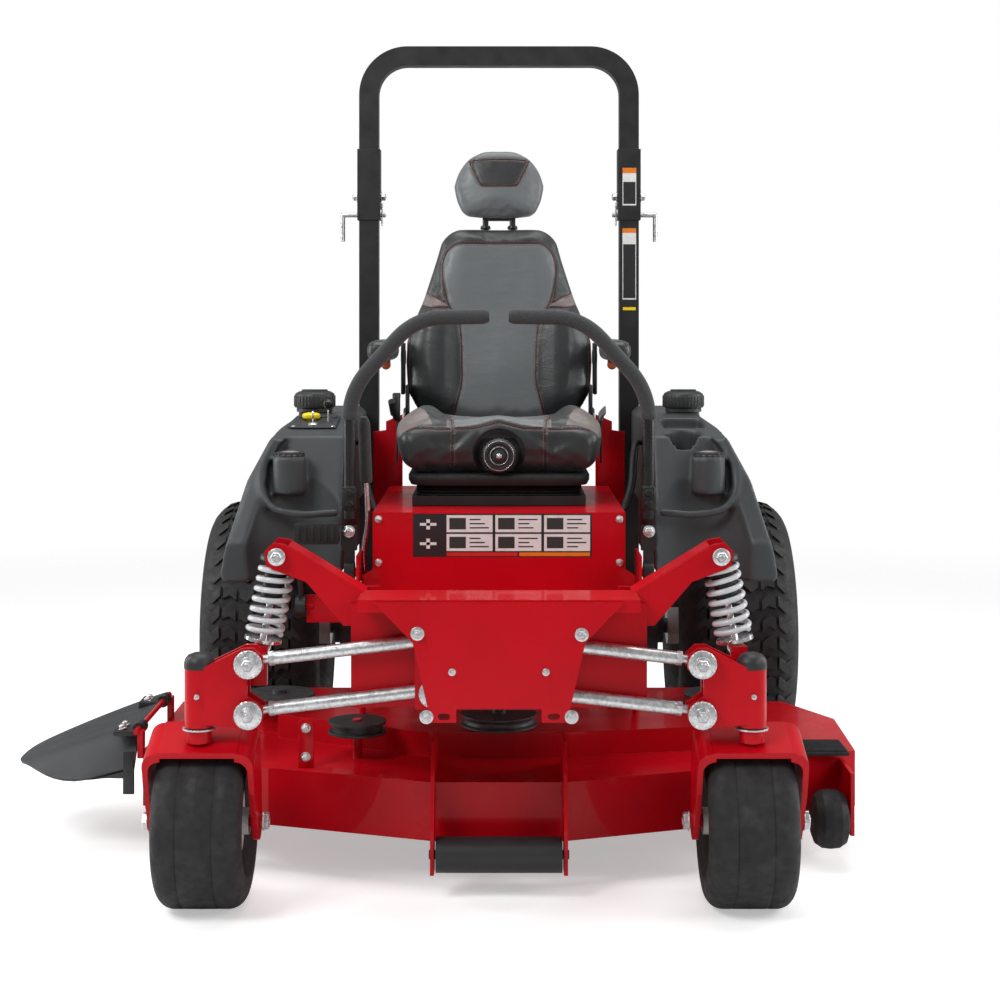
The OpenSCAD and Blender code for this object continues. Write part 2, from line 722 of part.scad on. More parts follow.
module chute_deflector() color(black) {
    // A slab that drops towards its rounded outer end
    difference() {
        union() {
            translate([chute_hinge_x - 8, -330, 262]) rotate([0, 180 - chute_drop, 0]) mirror([0, 0, 1])
                linear_extrude(chute_t) difference() {
                    union() {
                        square([120, 440]);
                        translate([100, 220]) circle(r = 220);
                        square([230, 130]);
                    }
                    translate([-400, -50]) square([400, 600]);
                    translate([-100, -100]) square([600, 100]);
                    translate([chute_len, -100]) square([100, 700]);
                }
            plate_xz([[-788, 258], [-788, 140], [-930, 132], [-985, 160], [-998, 186]], -330, 6);
            box([-793, chute_hinge_x], [-275, -245], [252, 266]);
            box([-793, chute_hinge_x], [5, 35], [252, 266]);
            for (y = [-260, 20]) along_y([chute_hinge_x, y, 262], 13, 30);
        }
        along_y([chute_hinge_x, -110, 262], 6 + fit, 600);
    }
}

place() main_frame();
place() front_cover();
place() foot_pan();
place() { right_tank(); throttle_pin(); }
place() left_tank();
place() rops_posts();
place() rops_hoop();
place() right_rops_pin();
place() left_rops_pin();
place() engine_block();
place() engine_shroud();
place() wheel_motors();
place() right_fuel_cap();
place() left_fuel_cap();
place() blade_knob();
place() throttle_lever();
place() right_lever_base();
place() left_lever_base();
place() right_lever();
place() left_lever();
place() brake_lever();
place() lift_pedal();
place() seat_base();
place() seat_carriage();
place() seat_cushion();
place() seat_back();
place() headrest();
place() right_armrest();
place() left_armrest();
place() seat_knob();
place() deck_shell();
place() right_spindle();
place() middle_spindle();
place() left_spindle();
place() idler_pulley();
place() front_roller();
place() deck_wheel();
place() chute_deflector();
place() right_upper_link();
place() left_upper_link();
place() right_lower_link();
place() left_lower_link();
place() right_upright();
place() left_upright();
place() right_fork();
place() left_fork();
place() right_caster_tyre();
place() left_caster_tyre();
place() right_caster_rim();
place() left_caster_rim();
place() right_damper();
place() left_damper();
place() right_damper_rod();
place() left_damper_rod();
place() right_spring();
place() left_spring();
place() right_rear_tyre();
place() left_rear_tyre();
place() right_rear_rim();
place() left_rear_rim();
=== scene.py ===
"""Looks of a zero turn mower: materials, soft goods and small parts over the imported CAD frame."""
import math

import bmesh
import bpy
from mathutils import Matrix, Vector
from mathutils.kdtree import KDTree


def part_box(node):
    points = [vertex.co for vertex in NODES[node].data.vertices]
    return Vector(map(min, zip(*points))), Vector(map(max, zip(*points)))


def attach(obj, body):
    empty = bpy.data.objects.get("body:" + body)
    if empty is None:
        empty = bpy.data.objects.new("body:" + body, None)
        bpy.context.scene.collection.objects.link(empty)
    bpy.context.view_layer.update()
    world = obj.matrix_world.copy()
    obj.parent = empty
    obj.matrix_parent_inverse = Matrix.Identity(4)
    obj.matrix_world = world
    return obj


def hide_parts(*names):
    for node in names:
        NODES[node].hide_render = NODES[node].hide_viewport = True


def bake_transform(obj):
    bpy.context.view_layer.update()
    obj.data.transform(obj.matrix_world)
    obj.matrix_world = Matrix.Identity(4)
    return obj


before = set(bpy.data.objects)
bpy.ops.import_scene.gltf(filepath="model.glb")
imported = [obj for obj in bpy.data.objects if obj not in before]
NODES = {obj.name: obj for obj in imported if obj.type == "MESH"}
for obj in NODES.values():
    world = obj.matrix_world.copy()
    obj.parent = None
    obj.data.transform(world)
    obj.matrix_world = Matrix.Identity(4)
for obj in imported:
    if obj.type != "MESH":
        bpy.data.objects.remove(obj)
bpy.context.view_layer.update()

SIDES = (("right", -1), ("left", 1))

# ---------------------------------------------------------------- places, in mm from the chassis centreline
cover_low, cover_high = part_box("front_cover")
tyre_low, tyre_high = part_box("right_rear_tyre")
ORIGIN = Vector(((cover_low.x + cover_high.x) / 2, (tyre_low.y + tyre_high.y) / 2 - 0.65, 0))


def at(x, y, z):
    """A point given in mm: x from the centreline, y rearward from mid wheelbase, z above the ground."""
    return ORIGIN + Vector((x, y, z)) * 0.001


def middle(node):
    """Centre of a CAD node's box."""
    low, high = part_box(node)
    return (low + high) / 2


# ---------------------------------------------------------------- materials
class Shader:
    """One procedural material, with short calls that add nodes to it."""

    def __init__(self, name, **values):
        self.material = bpy.data.materials.new(name)
        self.material.use_nodes = True
        self.tree = self.material.node_tree
        self.surface = self.tree.nodes["Principled BSDF"]
        self.place = self.add("ShaderNodeTexCoord").outputs["Object"]
        self.set(**values)

    def add(self, kind, **inputs):
        node = self.tree.nodes.new(kind)
        for key, value in inputs.items():
            self.feed(node.inputs[key.replace("_", " ")], value)
        return node

    def feed(self, socket, value):
        if isinstance(value, bpy.types.NodeSocket):
            self.tree.links.new(value, socket)
        elif isinstance(value, tuple) and len(value) == 3 and socket.type == "RGBA":
            socket.default_value = (*value, 1)
        else:
            socket.default_value = value

    def set(self, **values):
        for key, value in values.items():
            self.feed(self.surface.inputs[key.replace("_", " ")], value)

    def noise(self, scale, detail=3.0, stretch=None):
        place = self.place
        if stretch:
            place = self.add("ShaderNodeMapping", Vector=place, Scale=stretch).outputs[0]
        return self.add("ShaderNodeTexNoise", Vector=place, Scale=scale, Detail=detail).outputs["Fac"]

    def cells(self, scale, output="Distance"):
        return self.add("ShaderNodeTexVoronoi", Vector=self.place, Scale=scale).outputs[output]

    def ramp(self, value, low, high, dark=0.0, light=1.0):
        node = self.add("ShaderNodeMapRange", Value=value)
        node.inputs["From Min"].default_value = low
        node.inputs["From Max"].default_value = high
        node.inputs["To Min"].default_value = dark
        node.inputs["To Max"].default_value = light
        return node.outputs[0]

    def math(self, kind, a, b=0.0, c=0.0):
        node = self.add("ShaderNodeMath")
        node.operation = kind
        for socket, value in zip(node.inputs, (a, b, c)):
            self.feed(socket, value)
        return node.outputs[0]

    def mix(self, amount, a, b):
        node = self.add("ShaderNodeMix")
        node.data_type = "RGBA"
        self.feed(node.inputs["Factor"], amount)
        self.feed(node.inputs["A"], a)
        self.feed(node.inputs["B"], b)
        return node.outputs["Result"]

    def axis(self, name):
        split = self.add("ShaderNodeSeparateXYZ", Vector=self.place)
        return split.outputs[name]

    def rounded(self, radius):
        """A normal that rounds sharp edges to this radius, in metres."""
        node = self.add("ShaderNodeBevel", Radius=radius)
        node.samples = 4
        return node.outputs[0]

    def edges(self, radius):
        """1 on a convex or concave edge and 0 on a flat."""
        flat = self.add("ShaderNodeNewGeometry").outputs["Normal"]
        dot = self.add("ShaderNodeVectorMath")
        dot.operation = "DOT_PRODUCT"
        self.feed(dot.inputs[0], self.rounded(radius))
        self.feed(dot.inputs[1], flat)
        return self.ramp(dot.outputs["Value"], 0.985, 0.86)

    def bump(self, height, strength, distance, normal=None):
        node = self.add("ShaderNodeBump", Height=height, Strength=strength, Distance=distance)
        if normal:
            self.feed(node.inputs["Normal"], normal)
        self.feed(self.surface.inputs["Normal"], node.outputs[0])
        return node.outputs[0]


def paint(name, colour, worn):
    """Glossy enamel with orange peel, a clear coat, and a little wear on its edges."""
    s = Shader(name, Coat_Weight=0.16, Coat_Roughness=0.03, Specular_IOR_Level=0.12)
    tone = s.mix(s.ramp(s.noise(4.0), 0.35, 0.7), colour, tuple(c * 0.82 for c in colour))
    chips = s.math("MULTIPLY", s.edges(0.0016), s.ramp(s.noise(160.0, 5.0), 0.6, 0.72))
    s.set(Base_Color=s.mix(chips, tone, worn))
    s.set(Roughness=s.ramp(s.noise(12.0, 5.0), 0.3, 0.8, 0.26, 0.42))
    s.bump(s.noise(420.0, 2.0), 0.05, 0.0006, s.rounded(0.0022))
    return s.material


def powder(name, colour=(0.012, 0.012, 0.013), rough=0.38, grain=1100.0):
    """Satin powder coat with a fine texture."""
    s = Shader(name, Specular_IOR_Level=0.5)
    wear = s.math("MULTIPLY", s.edges(0.0014), s.ramp(s.noise(90.0, 6.0), 0.56, 0.75))
    s.set(Base_Color=s.mix(wear, colour, (0.12, 0.12, 0.12)))
    s.set(Roughness=s.ramp(s.noise(25.0, 4.0), 0.3, 0.7, rough - 0.06, rough + 0.12))
    s.bump(s.noise(grain, 3.0), 0.16, 0.0005, s.rounded(0.0018))
    return s.material


def moulded(name, colour, rough=0.5, grain=900.0, depth=0.25):
    """Moulded plastic with a pebbled skin, scuffs and slight mottling."""
    s = Shader(name, Specular_IOR_Level=0.45)
    mottled = s.mix(s.ramp(s.noise(7.0, 4.0), 0.3, 0.75), colour, tuple(c * 1.28 for c in colour))
    scuff = s.ramp(s.noise(30.0, 8.0, (1.0, 0.4, 5.0)), 0.66, 0.74, 0.0, 0.35)
    s.set(Base_Color=s.mix(scuff, mottled, tuple(min(1.0, c * 1.7) for c in colour)))
    s.set(Roughness=s.ramp(s.noise(16.0, 5.0), 0.25, 0.75, rough - 0.07, rough + 0.1))
    s.bump(s.cells(grain), depth, 0.0006, s.rounded(0.0022))
    return s.material


def rubber(name, colour=(0.014, 0.014, 0.015), dust=(0.075, 0.07, 0.062)):
    """Tyre rubber: matt, with a trace of dust."""
    s = Shader(name, Specular_IOR_Level=0.4)
    dusty = s.ramp(s.noise(22.0, 7.0), 0.52, 0.8, 0.0, 0.35)
    s.set(Base_Color=s.mix(dusty, colour, dust))
    s.set(Roughness=s.ramp(s.noise(60.0, 4.0), 0.3, 0.8, 0.55, 0.85))
    s.bump(s.noise(700.0, 4.0), 0.3, 0.0007, s.rounded(0.0015))
    return s.material


def galvanised(name, colour=(0.74, 0.75, 0.76), rough=0.3):
    """Zinc plate with faint spangle and brushed streaks."""
    s = Shader(name, Metallic=0.95)
    spangle = s.cells(190.0, "Color")
    grey = s.add("ShaderNodeRGBToBW", Color=spangle).outputs[0]
    s.set(Base_Color=s.mix(s.ramp(grey, 0.2, 0.8), colour, tuple(c * 0.74 for c in colour)))
    s.set(Roughness=s.ramp(s.noise(70.0, 6.0), 0.25, 0.75, rough - 0.08, rough + 0.2))
    s.bump(s.noise(600.0, 3.0, (1.0, 1.0, 0.2)), 0.12, 0.0004, s.rounded(0.0012))
    return s.material


def cast(name, colour, rough=0.5, metal=0.8):
    """Cast or machined alloy."""
    s = Shader(name, Metallic=metal)
    s.set(Base_Color=s.mix(s.ramp(s.noise(40.0, 6.0), 0.4, 0.8), colour, tuple(c * 0.55 for c in colour)))
    s.set(Roughness=s.ramp(s.noise(90.0, 5.0), 0.3, 0.7, rough - 0.1, rough + 0.15))
    s.bump(s.noise(480.0, 5.0), 0.35, 0.0006, s.rounded(0.0016))
    return s.material


def vinyl(name, colour, rough=0.4):
    """Seat vinyl: fine leather cells, slow creases and a soft sheen."""
    s = Shader(name, Specular_IOR_Level=0.45, Sheen_Weight=0.12, Sheen_Roughness=0.4)
    tone = s.mix(s.ramp(s.noise(9.0, 5.0), 0.3, 0.75), colour, tuple(c * 0.78 for c in colour))
    s.set(Base_Color=tone)
    s.set(Roughness=s.ramp(s.noise(28.0, 5.0), 0.3, 0.75, rough - 0.06, rough + 0.1))
    cells = s.ramp(s.cells(620.0), 0.0, 0.75)
    crease = s.ramp(s.noise(26.0, 6.0, (1.0, 1.0, 2.4)), 0.45, 0.62)
    height = s.math("ADD", s.math("MULTIPLY", cells, 0.35), crease)
    s.bump(height, 0.22, 0.0009)
    return s.material


def foam(name):
    """Closed cell foam of a hand grip."""
    s = Shader(name, Specular_IOR_Level=0.3, Sheen_Weight=0.15)
    s.set(Base_Color=s.mix(s.ramp(s.noise(300.0, 5.0), 0.3, 0.7), (0.03, 0.033, 0.034), (0.055, 0.058, 0.06)))
    s.set(Roughness=s.ramp(s.noise(150.0, 3.0), 0.3, 0.7, 0.78, 0.92))
    s.bump(s.noise(1300.0, 5.0), 0.5, 0.0008)
    return s.material


def thread(name, colour):
    """Twisted sewing thread."""
    s = Shader(name, Roughness=0.6, Sheen_Weight=0.3)
    s.set(Base_Color=s.mix(s.noise(1500.0, 2.0), colour, tuple(c * 0.5 for c in colour)))
    s.bump(s.noise(2500.0, 2.0), 0.4, 0.0003)
    return s.material


def printed(name, colour, rough=0.35):
    """Printed film or even enamel under a thin clear layer."""
    s = Shader(name, Roughness=rough, Coat_Weight=0.3, Coat_Roughness=0.15)
    s.set(Base_Color=s.mix(s.ramp(s.noise(60.0, 5.0), 0.45, 0.8), colour, tuple(c * 0.86 for c in colour)))
    s.bump(s.noise(350.0, 2.0), 0.05, 0.0004)
    return s.material


RED = paint("red_paint", (0.53, 0.002, 0.009), (0.2, 0.16, 0.15))
BLACK = powder("black_powder_coat")
STEEL_BLACK = powder("black_enamel", (0.008, 0.008, 0.009), 0.28, 700.0)
TANK = moulded("tank_plastic", (0.036, 0.041, 0.043), 0.46, 1000.0, 0.16)
PLASTIC = moulded("black_plastic", (0.018, 0.019, 0.02), 0.42, 1300.0, 0.2)
PANEL = moulded("panel_plastic", (0.024, 0.026, 0.028), 0.5, 1600.0, 0.35)
YELLOW = moulded("yellow_plastic", (0.82, 0.6, 0.0), 0.35, 1500.0, 0.1)
AMBER = moulded("amber_plastic", (0.42, 0.07, 0.02), 0.35, 1500.0, 0.1)
ZINC = galvanised("zinc_plate")
CHROME = galvanised("bright_steel", (0.85, 0.85, 0.86), 0.14)
TYRE = rubber("tyre_rubber")
RUBBER = rubber("moulded_rubber", (0.01, 0.01, 0.01), (0.03, 0.03, 0.03))
RIM = paint("rim_paint", (0.62, 0.62, 0.6), (0.25, 0.24, 0.22))
ENGINE = cast("engine_alloy", (0.42, 0.43, 0.44))
MOTOR = cast("motor_housing", (0.1, 0.105, 0.11), 0.5, 0.6)
VINYL_DARK = vinyl("dark_vinyl", (0.03, 0.034, 0.035), 0.36)
FOAM = foam("grip_foam")
RED_THREAD = thread("red_thread", (0.35, 0.05, 0.045))
WEBBING = thread("belt_webbing", (0.02, 0.02, 0.022))
SILVER = printed("silver_enamel", (0.6, 0.61, 0.63), 0.3)
WHITE = printed("white_film", (0.75, 0.75, 0.73))
INK_BLACK = printed("black_film", (0.015, 0.015, 0.017))
INK_RED = printed("red_film", (0.6, 0.02, 0.015))
INK_ORANGE = printed("orange_film", (0.75, 0.2, 0.01))
GLASS = printed("gauge_lens", (0.35, 0.3, 0.28), 0.12)


# ---------------------------------------------------------------- mesh helpers, all sizes in mm
def turned(axis):
    """Rotation that takes +Z to an axis."""
    return Vector(axis).normalized().to_track_quat("Z", "Y").to_matrix()


def lathe(bm, base, axis, profile, segments=40, closed=False):
    """Turns (radius, height) pairs about an axis through base. A radius of 0 closes the end."""
    turn = turned(axis)
    rings = []
    for radius, height in profile:
        count = segments if radius > 0 else 1
        rings.append([
            bm.verts.new(at(*base) + turn @ Vector((
                radius * math.cos(k * math.tau / segments),
                radius * math.sin(k * math.tau / segments), height)) * 0.001)
            for k in range(count)])
    pairs = list(zip(rings, rings[1:])) + ([(rings[-1], rings[0])] if closed else [])
    for a, b in pairs:
        for k in range(segments):
            corners = [a[k % len(a)], a[(k + 1) % len(a)], b[(k + 1) % len(b)], b[k % len(b)]]
            corners = list(dict.fromkeys(corners))
            if len(corners) > 2:
                bm.faces.new(corners)


def rod(bm, start, end, radius, edge=0.6, segments=28):
    """A capped round bar with chamfered ends."""
    length = (Vector(end) - Vector(start)).length
    edge = min(edge, radius * 0.4, length * 0.3)
    lathe(bm, start, Vector(end) - Vector(start), [
        (0, 0), (radius - edge, 0), (radius, edge), (radius, length - edge), (radius - edge, length), (0, length)],
        segments)


def block(bm, low, high, edge=2.0, steps=2):
    """A box between two corners with rounded edges."""
    low, high = at(*low), at(*high)
    size = high - low
    made = bmesh.ops.create_cube(bm, size=1.0, matrix=Matrix.Translation((low + high) / 2) @ Matrix.Diagonal((*size, 1)))
    if edge:
        edges = {e for v in made["verts"] for e in v.link_edges}
        bmesh.ops.bevel(bm, geom=list(edges), offset=min(edge * 0.001, min(size) * 0.45), segments=steps,
                        profile=0.5, affect="EDGES")


def plate(bm, outline, push, edge=0.0):
    """A flat outline of points, thickened by a vector, with its rims chamfered by edge."""
    push = Vector(push) * 0.001
    face = bm.faces.new([bm.verts.new(at(*p)) for p in outline])
    made = bmesh.ops.extrude_face_region(bm, geom=[face])
    verts = [v for v in made["geom"] if isinstance(v, bmesh.types.BMVert)]
    bmesh.ops.translate(bm, verts=verts, vec=push)
    if edge:
        top = [f for f in made["geom"] if isinstance(f, bmesh.types.BMFace)][0]
        rims = list(top.edges) + list(face.edges)
        bmesh.ops.bevel(bm, geom=rims, offset=edge * 0.001, segments=2, profile=0.5, affect="EDGES")


def rounded(points, radius, steps=6, closed=False):
    """Rounds the corners of a polyline."""
    points = [Vector(p) for p in points]
    count = len(points)
    path = []
    for k, corner in enumerate(points):
        if not closed and k in (0, count - 1):
            path.append(corner)
            continue
        before, after = points[k - 1] - corner, points[(k + 1) % count] - corner
        reach = min(radius, before.length * 0.48, after.length * 0.48)
        a, b = corner + before.normalized() * reach, corner + after.normalized() * reach
        for step in range(steps + 1):
            t = step / steps
            path.append(a.lerp(corner, t).lerp(corner.lerp(b, t), t))
    return path


def tube(bm, path, radius, segments=14, closed=False, squeeze=1.0):
    """Sweeps a round section along points; radius is one number or one for each point."""
    path = [Vector(p) for p in path]
    count = len(path)
    radii = radius if isinstance(radius, list) else [radius] * count
    ahead = (path[1] - path[0]).normalized()
    up = ahead.orthogonal().normalized()
    rings = []
    for k, point in enumerate(path):
        if closed:
            tangent = (path[(k + 1) % count] - path[k - 1]).normalized()
        else:
            tangent = (path[min(k + 1, count - 1)] - path[max(k - 1, 0)]).normalized()
        up = (up - tangent * up.dot(tangent)).normalized()
        across = tangent.cross(up)
        rings.append([
            bm.verts.new(at(*(point + radii[k] * (up * math.cos(a) + across * math.sin(a) * squeeze))))
            for a in (n * math.tau / segments for n in range(segments))])
    pairs = list(zip(rings, rings[1:])) + ([(rings[-1], rings[0])] if closed else [])
    for a, b in pairs:
        for n in range(segments):
            bm.faces.new((a[n], a[(n + 1) % segments], b[(n + 1) % segments], b[n]))
    if not closed:
        bm.faces.new(rings[0][::-1])
        bm.faces.new(rings[-1])


def hex_bolt(bm, at_point, axis, across=13.0, height=7.0, washer=12.0):
    """A washer, a hex head with a domed top and the thread's end ring."""
    along = Vector(axis).normalized()
    base = Vector(at_point)
    if washer:
        lathe(bm, base, along, [(0, 0), (washer, 0), (washer, 1.6), (washer - 0.6, 2.0), (0, 2.0)], 32)
        base = base + along * 2.0
    r = across / 2 / math.cos(math.pi / 6)
    lathe(bm, base, along, [(0, 0), (r, 0), (r, height * 0.82), (r * 0.86, height), (0, height)], 6)
    lathe(bm, base + along * height, along, [(0, 0), (r * 0.5, 0), (r * 0.42, 1.6), (0, 1.9)], 18)


def piece(name, bm, materials, body, angle=34.0):
    """Turns a bmesh into a named piece that rides on a body."""
    mesh = bpy.data.meshes.new(name)
    bmesh.ops.recalc_face_normals(bm, faces=bm.faces)
    bm.to_mesh(mesh)
    bm.free()
    return dress(new_object(name, mesh), materials, body, angle)


def new_object(name, mesh):
    obj = bpy.data.objects.new(name, mesh)
    bpy.context.scene.collection.objects.link(obj)
    return obj


def dress(obj, materials, body, angle=34.0):
    """Gives a mesh object its materials, smooth shading and body."""
    if obj.data.materials:
        obj.data.materials.clear()
    for material in materials if isinstance(materials, tuple) else (materials,):
        obj.data.materials.append(material)
    obj.data.shade_smooth()
    obj.data.set_sharp_from_angle(angle=math.radians(angle))
    if body:
        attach(obj, body)
    return obj


# ---------------------------------------------------------------- soft goods
def evaluated(obj):
    """Replaces an object's mesh by what its modifiers make of it."""
    graph = bpy.context.evaluated_depsgraph_get()
    mesh = bpy.data.meshes.new_from_object(obj.evaluated_get(graph))
    obj.modifiers.clear()
    obj.data = mesh


def inflate(obj, voxel=0.005, pressure=4.0, cap=0.012):
    """Remeshes a closed shape, swells it with a short cloth simulation, and subdivides it once."""
    obj.modifiers.new("skin", "REMESH").voxel_size = voxel
    evaluated(obj)
    scene = bpy.context.scene
    rest = [v.co.copy() for v in obj.data.vertices]
    cloth = obj.modifiers.new("padding", "CLOTH")
    cloth.settings.use_pressure = True
    cloth.settings.uniform_pressure_force = pressure
    cloth.settings.effector_weights.gravity = 0
    cloth.point_cache.frame_start, cloth.point_cache.frame_end = 1, 20
    for step in range(1, 21):
        scene.frame_set(step)
    evaluated(obj)
    scene.frame_set(1)
    for vertex, start in zip(obj.data.vertices, rest):
        move = vertex.co - start
        if move.length > cap:
            vertex.co = start + move.normalized() * cap
    relax = obj.modifiers.new("relax", "SMOOTH")
    relax.iterations = 3
    fine = obj.modifiers.new("fine", "SUBSURF")
    fine.levels = 1
    evaluated(obj)


def loft(bm, rings):
    """Joins closed rings of points, in mm, and caps both ends."""
    made = [[bm.verts.new(at(*p)) for p in ring] for ring in rings]
    for a, b in zip(made, made[1:]):
        for k in range(len(a)):
            n = (k + 1) % len(a)
            bm.faces.new((a[k], a[n], b[n], b[k]))
    bm.faces.new(made[0][::-1])
    bm.faces.new(made[-1])


def oval(power, count=56):
    """Points of a unit superellipse; a higher power is squarer."""
    for k in range(count):
        angle = k * math.tau / count
        c, s = math.cos(angle), math.sin(angle)
        yield (math.copysign(abs(c) ** (2 / power), c), math.copysign(abs(s) ** (2 / power), s))


def step_up(value, low, high):
    t = min(1.0, max(0.0, (value - low) / (high - low)))
    return t * t * (3 - 2 * t)


def between(value, table):
    """Linear interpolation in a list of (position, value) pairs."""
    for (a, p), (b, q) in zip(table, table[1:]):
        if value <= b:
            return p + (q - p) * max(0.0, value - a) / (b - a)
    return table[-1][1]


def spread(path, pitch):
    """Points at an even pitch along a polyline."""
    points, left = [Vector(path[0])], pitch
    for a, b in zip(path, path[1:]):
        a, b = Vector(a), Vector(b)
        length, done = (b - a).length, 0.0
        while length - done >= left:
            done += left
            points.append(a.lerp(b, done / length))
            left = pitch
        left -= length - done
    return points


def on_surface(obj, path, look):
    """Casts a dense path, in mm, onto an object along a direction; gives (point, normal) pairs in metres."""
    look = Vector(look).normalized()
    hits = []
    for point in spread(path, 3.0):
        found, place, normal, _ = obj.ray_cast(at(*point) - look * 0.3, look)
        if found:
            hits.append((place, normal))
    return hits


def groove(obj, seams, depth=0.0028, width=0.0085):
    """Sinks a surface along its seams."""
    points = [p for seam in seams for p, _ in seam]
    tree = KDTree(len(points))
    for k, point in enumerate(points):
        tree.insert(point, k)
    tree.balance()
    normals = [v.normal.copy() for v in obj.data.vertices]
    for vertex, normal in zip(obj.data.vertices, normals):
        away = tree.find(vertex.co)[2]
        if away < width:
            vertex.co -= normal * depth * (1 - away / width) ** 2


def sew(bm, seam, offset=0.0, radius=0.00075, pitch=0.0066, length=0.0046, lift=0.0):
    """Lays one row of stitches beside a seam."""
    gone = 0.0
    for (a, na), (b, nb) in zip(seam, seam[1:]):
        gone += (b - a).length
        if gone < pitch or (b - a).length < 1e-6:
            continue
        gone -= pitch
        along = (b - a).normalized()
        centre = (a + b) / 2 + along.cross(na).normalized() * offset + na * lift
        made = bmesh.ops.create_uvsphere(bm, u_segments=6, v_segments=4, radius=1.0)
        turn = along.to_track_quat("Z", "Y").to_matrix().to_4x4()
        shape = Matrix.Translation(centre) @ turn @ Matrix.Diagonal((radius, radius, length / 2, 1))
        bmesh.ops.transform(bm, matrix=shape, verts=made["verts"])


def welt(bm, seam, radius=0.0011, sink=0.0012):
    """A thin rolled welt that lies in a seam's groove."""
    path = [((p - n * sink) - ORIGIN) * 1000 for p, n in seam[::2]]
    if len(path) > 2:
        tube(bm, path, radius * 1000, 8)


def depth_in(x, z, outline):
    """Distance inside a closed 2D outline, in mm; negative outside."""
    inside, nearest = False, 1e9
    for (ax, az), (bx, bz) in zip(outline, outline[1:] + outline[:1]):
        if (az > z) != (bz > z) and x < (bx - ax) * (z - az) / (bz - az) + ax:
            inside = not inside
        dx, dz = bx - ax, bz - az
        t = min(1.0, max(0.0, ((x - ax) * dx + (z - az) * dz) / (dx * dx + dz * dz)))
        nearest = min(nearest, math.hypot(x - ax - t * dx, z - az - t * dz))
    return nearest if inside else -nearest


def zone(obj, name, depth):
    """Stores how deep each vertex lies in a colour zone, for the shader to cut a clean line."""
    layer = obj.data.attributes.new(name, "FLOAT", "POINT")
    layer.data.foreach_set("value", [depth((v.co - ORIGIN) * 1000) for v in obj.data.vertices])


def two_tone():
    """Dark vinyl with lighter insert and taupe accent zones."""
    material = VINYL_DARK.copy()
    material.name = "two_tone_vinyl"
    tree = material.node_tree
    surface = tree.nodes["Principled BSDF"]
    source = surface.inputs["Base Color"].links[0].from_socket
    for name, colour in (("insert", (0.125, 0.137, 0.141)), ("accent", (0.16, 0.135, 0.125))):
        layer = tree.nodes.new("ShaderNodeAttribute")
        layer.attribute_name = name
        cut = tree.nodes.new("ShaderNodeMapRange")
        cut.inputs["From Min"].default_value, cut.inputs["From Max"].default_value = -0.25, 0.25
        tree.links.new(layer.outputs["Fac"], cut.inputs["Value"])
        mix = tree.nodes.new("ShaderNodeMix")
        mix.data_type = "RGBA"
        tree.links.new(cut.outputs[0], mix.inputs["Factor"])
        tree.links.new(source, mix.inputs["A"])
        mix.inputs["B"].default_value = (*colour, 1)
        source = mix.outputs["Result"]
    tree.links.new(source, surface.inputs["Base Color"])
    return material


TWO_TONE = two_tone()
LEAN = (Matrix.Translation(at(0, 300, 905)) @ Matrix.Rotation(math.radians(-9), 4, "X")
        @ Matrix.Translation(-at(0, 0, 0)))


def upholster(name, bm, body, nodes, seams, zones, voxel, cap, lean=False, dent=None):
    """Inflates a pad, cuts its seams, colours its zones and sews it. seams are (path, look) pairs."""
    mesh = bpy.data.meshes.new(name)
    bmesh.ops.recalc_face_normals(bm, faces=bm.faces)
    bm.to_mesh(mesh)
    bm.free()
    pad = new_object(name, mesh)
    inflate(pad, voxel, 4.0, cap)
    if dent:
        for vertex in pad.data.vertices:
            vertex.co = dent(vertex.co)
    for layer in ("insert", "accent"):
        zone(pad, layer, zones.get(layer, lambda p: -10.0))
    bpy.context.view_layer.update()
    laid = [on_surface(pad, path, look) for path, look in seams]
    laid = [seam for seam in laid if len(seam) > 4]
    groove(pad, laid)
    pad.data.update()
    threads = bmesh.new()
    for seam in laid:
        sew(threads, seam, 0.0042)
        sew(threads, seam, -0.0042)
    cords = bmesh.new()
    for seam in laid:
        welt(cords, seam)
    sewn = new_object(name + "_stitches", bpy.data.meshes.new(name + "_stitches"))
    threads.to_mesh(sewn.data)
    threads.free()
    cord = new_object(name + "_welts", bpy.data.meshes.new(name + "_welts"))
    cords.to_mesh(cord.data)
    cords.free()
    if lean:
        for obj in (pad, sewn, cord):
            obj.data.transform(LEAN)
    dress(pad, TWO_TONE, body, 180.0)
    dress(sewn, RED_THREAD, body, 180.0)
    dress(cord, VINYL_DARK, body, 180.0)
    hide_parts(*nodes)
    return pad


def stations(low, high, round_end, count):
    """Positions along a pad, closer together at its ends, each with how far the ends pull in there."""
    for k in range(count):
        t = k / (count - 1)
        place = low + (high - low) * (0.5 - 0.5 * math.cos(math.pi * t))
        gap = max(0.4, min(place - low, high - place))
        pull = round_end - math.sqrt(round_end ** 2 - (round_end - gap) ** 2) if gap < round_end else 0.0
        yield place, pull


# Seat cushion: side bolsters, a dished middle, and a dent round the weight knob
def cushion_top(x, y):
    bolster = 27 * step_up(abs(x), 128, 178) * step_up(y, -128, -40)
    lobe = 13 * math.exp(-(x / 72) ** 2) * math.exp(-((y + 128) / 46) ** 2)
    return 912 + bolster + lobe - 12 * step_up(y, -100, 0) * (1 - min(1.0, abs(x) / 150) ** 2)


def cushion_rings():
    for y, pull in stations(-138, 236, 26, 22):
        wide = 233 - pull - 9 * step_up(-y, 60, 140)
        ring = []
        for cx, cz in oval(5.0, 72):
            x = wide * cx
            low, high = 808 + pull, cushion_top(x, y) - pull
            ring.append((x, y, (low + high) / 2 + (high - low) / 2 * cz))
        yield ring


knob = middle("seat_knob")


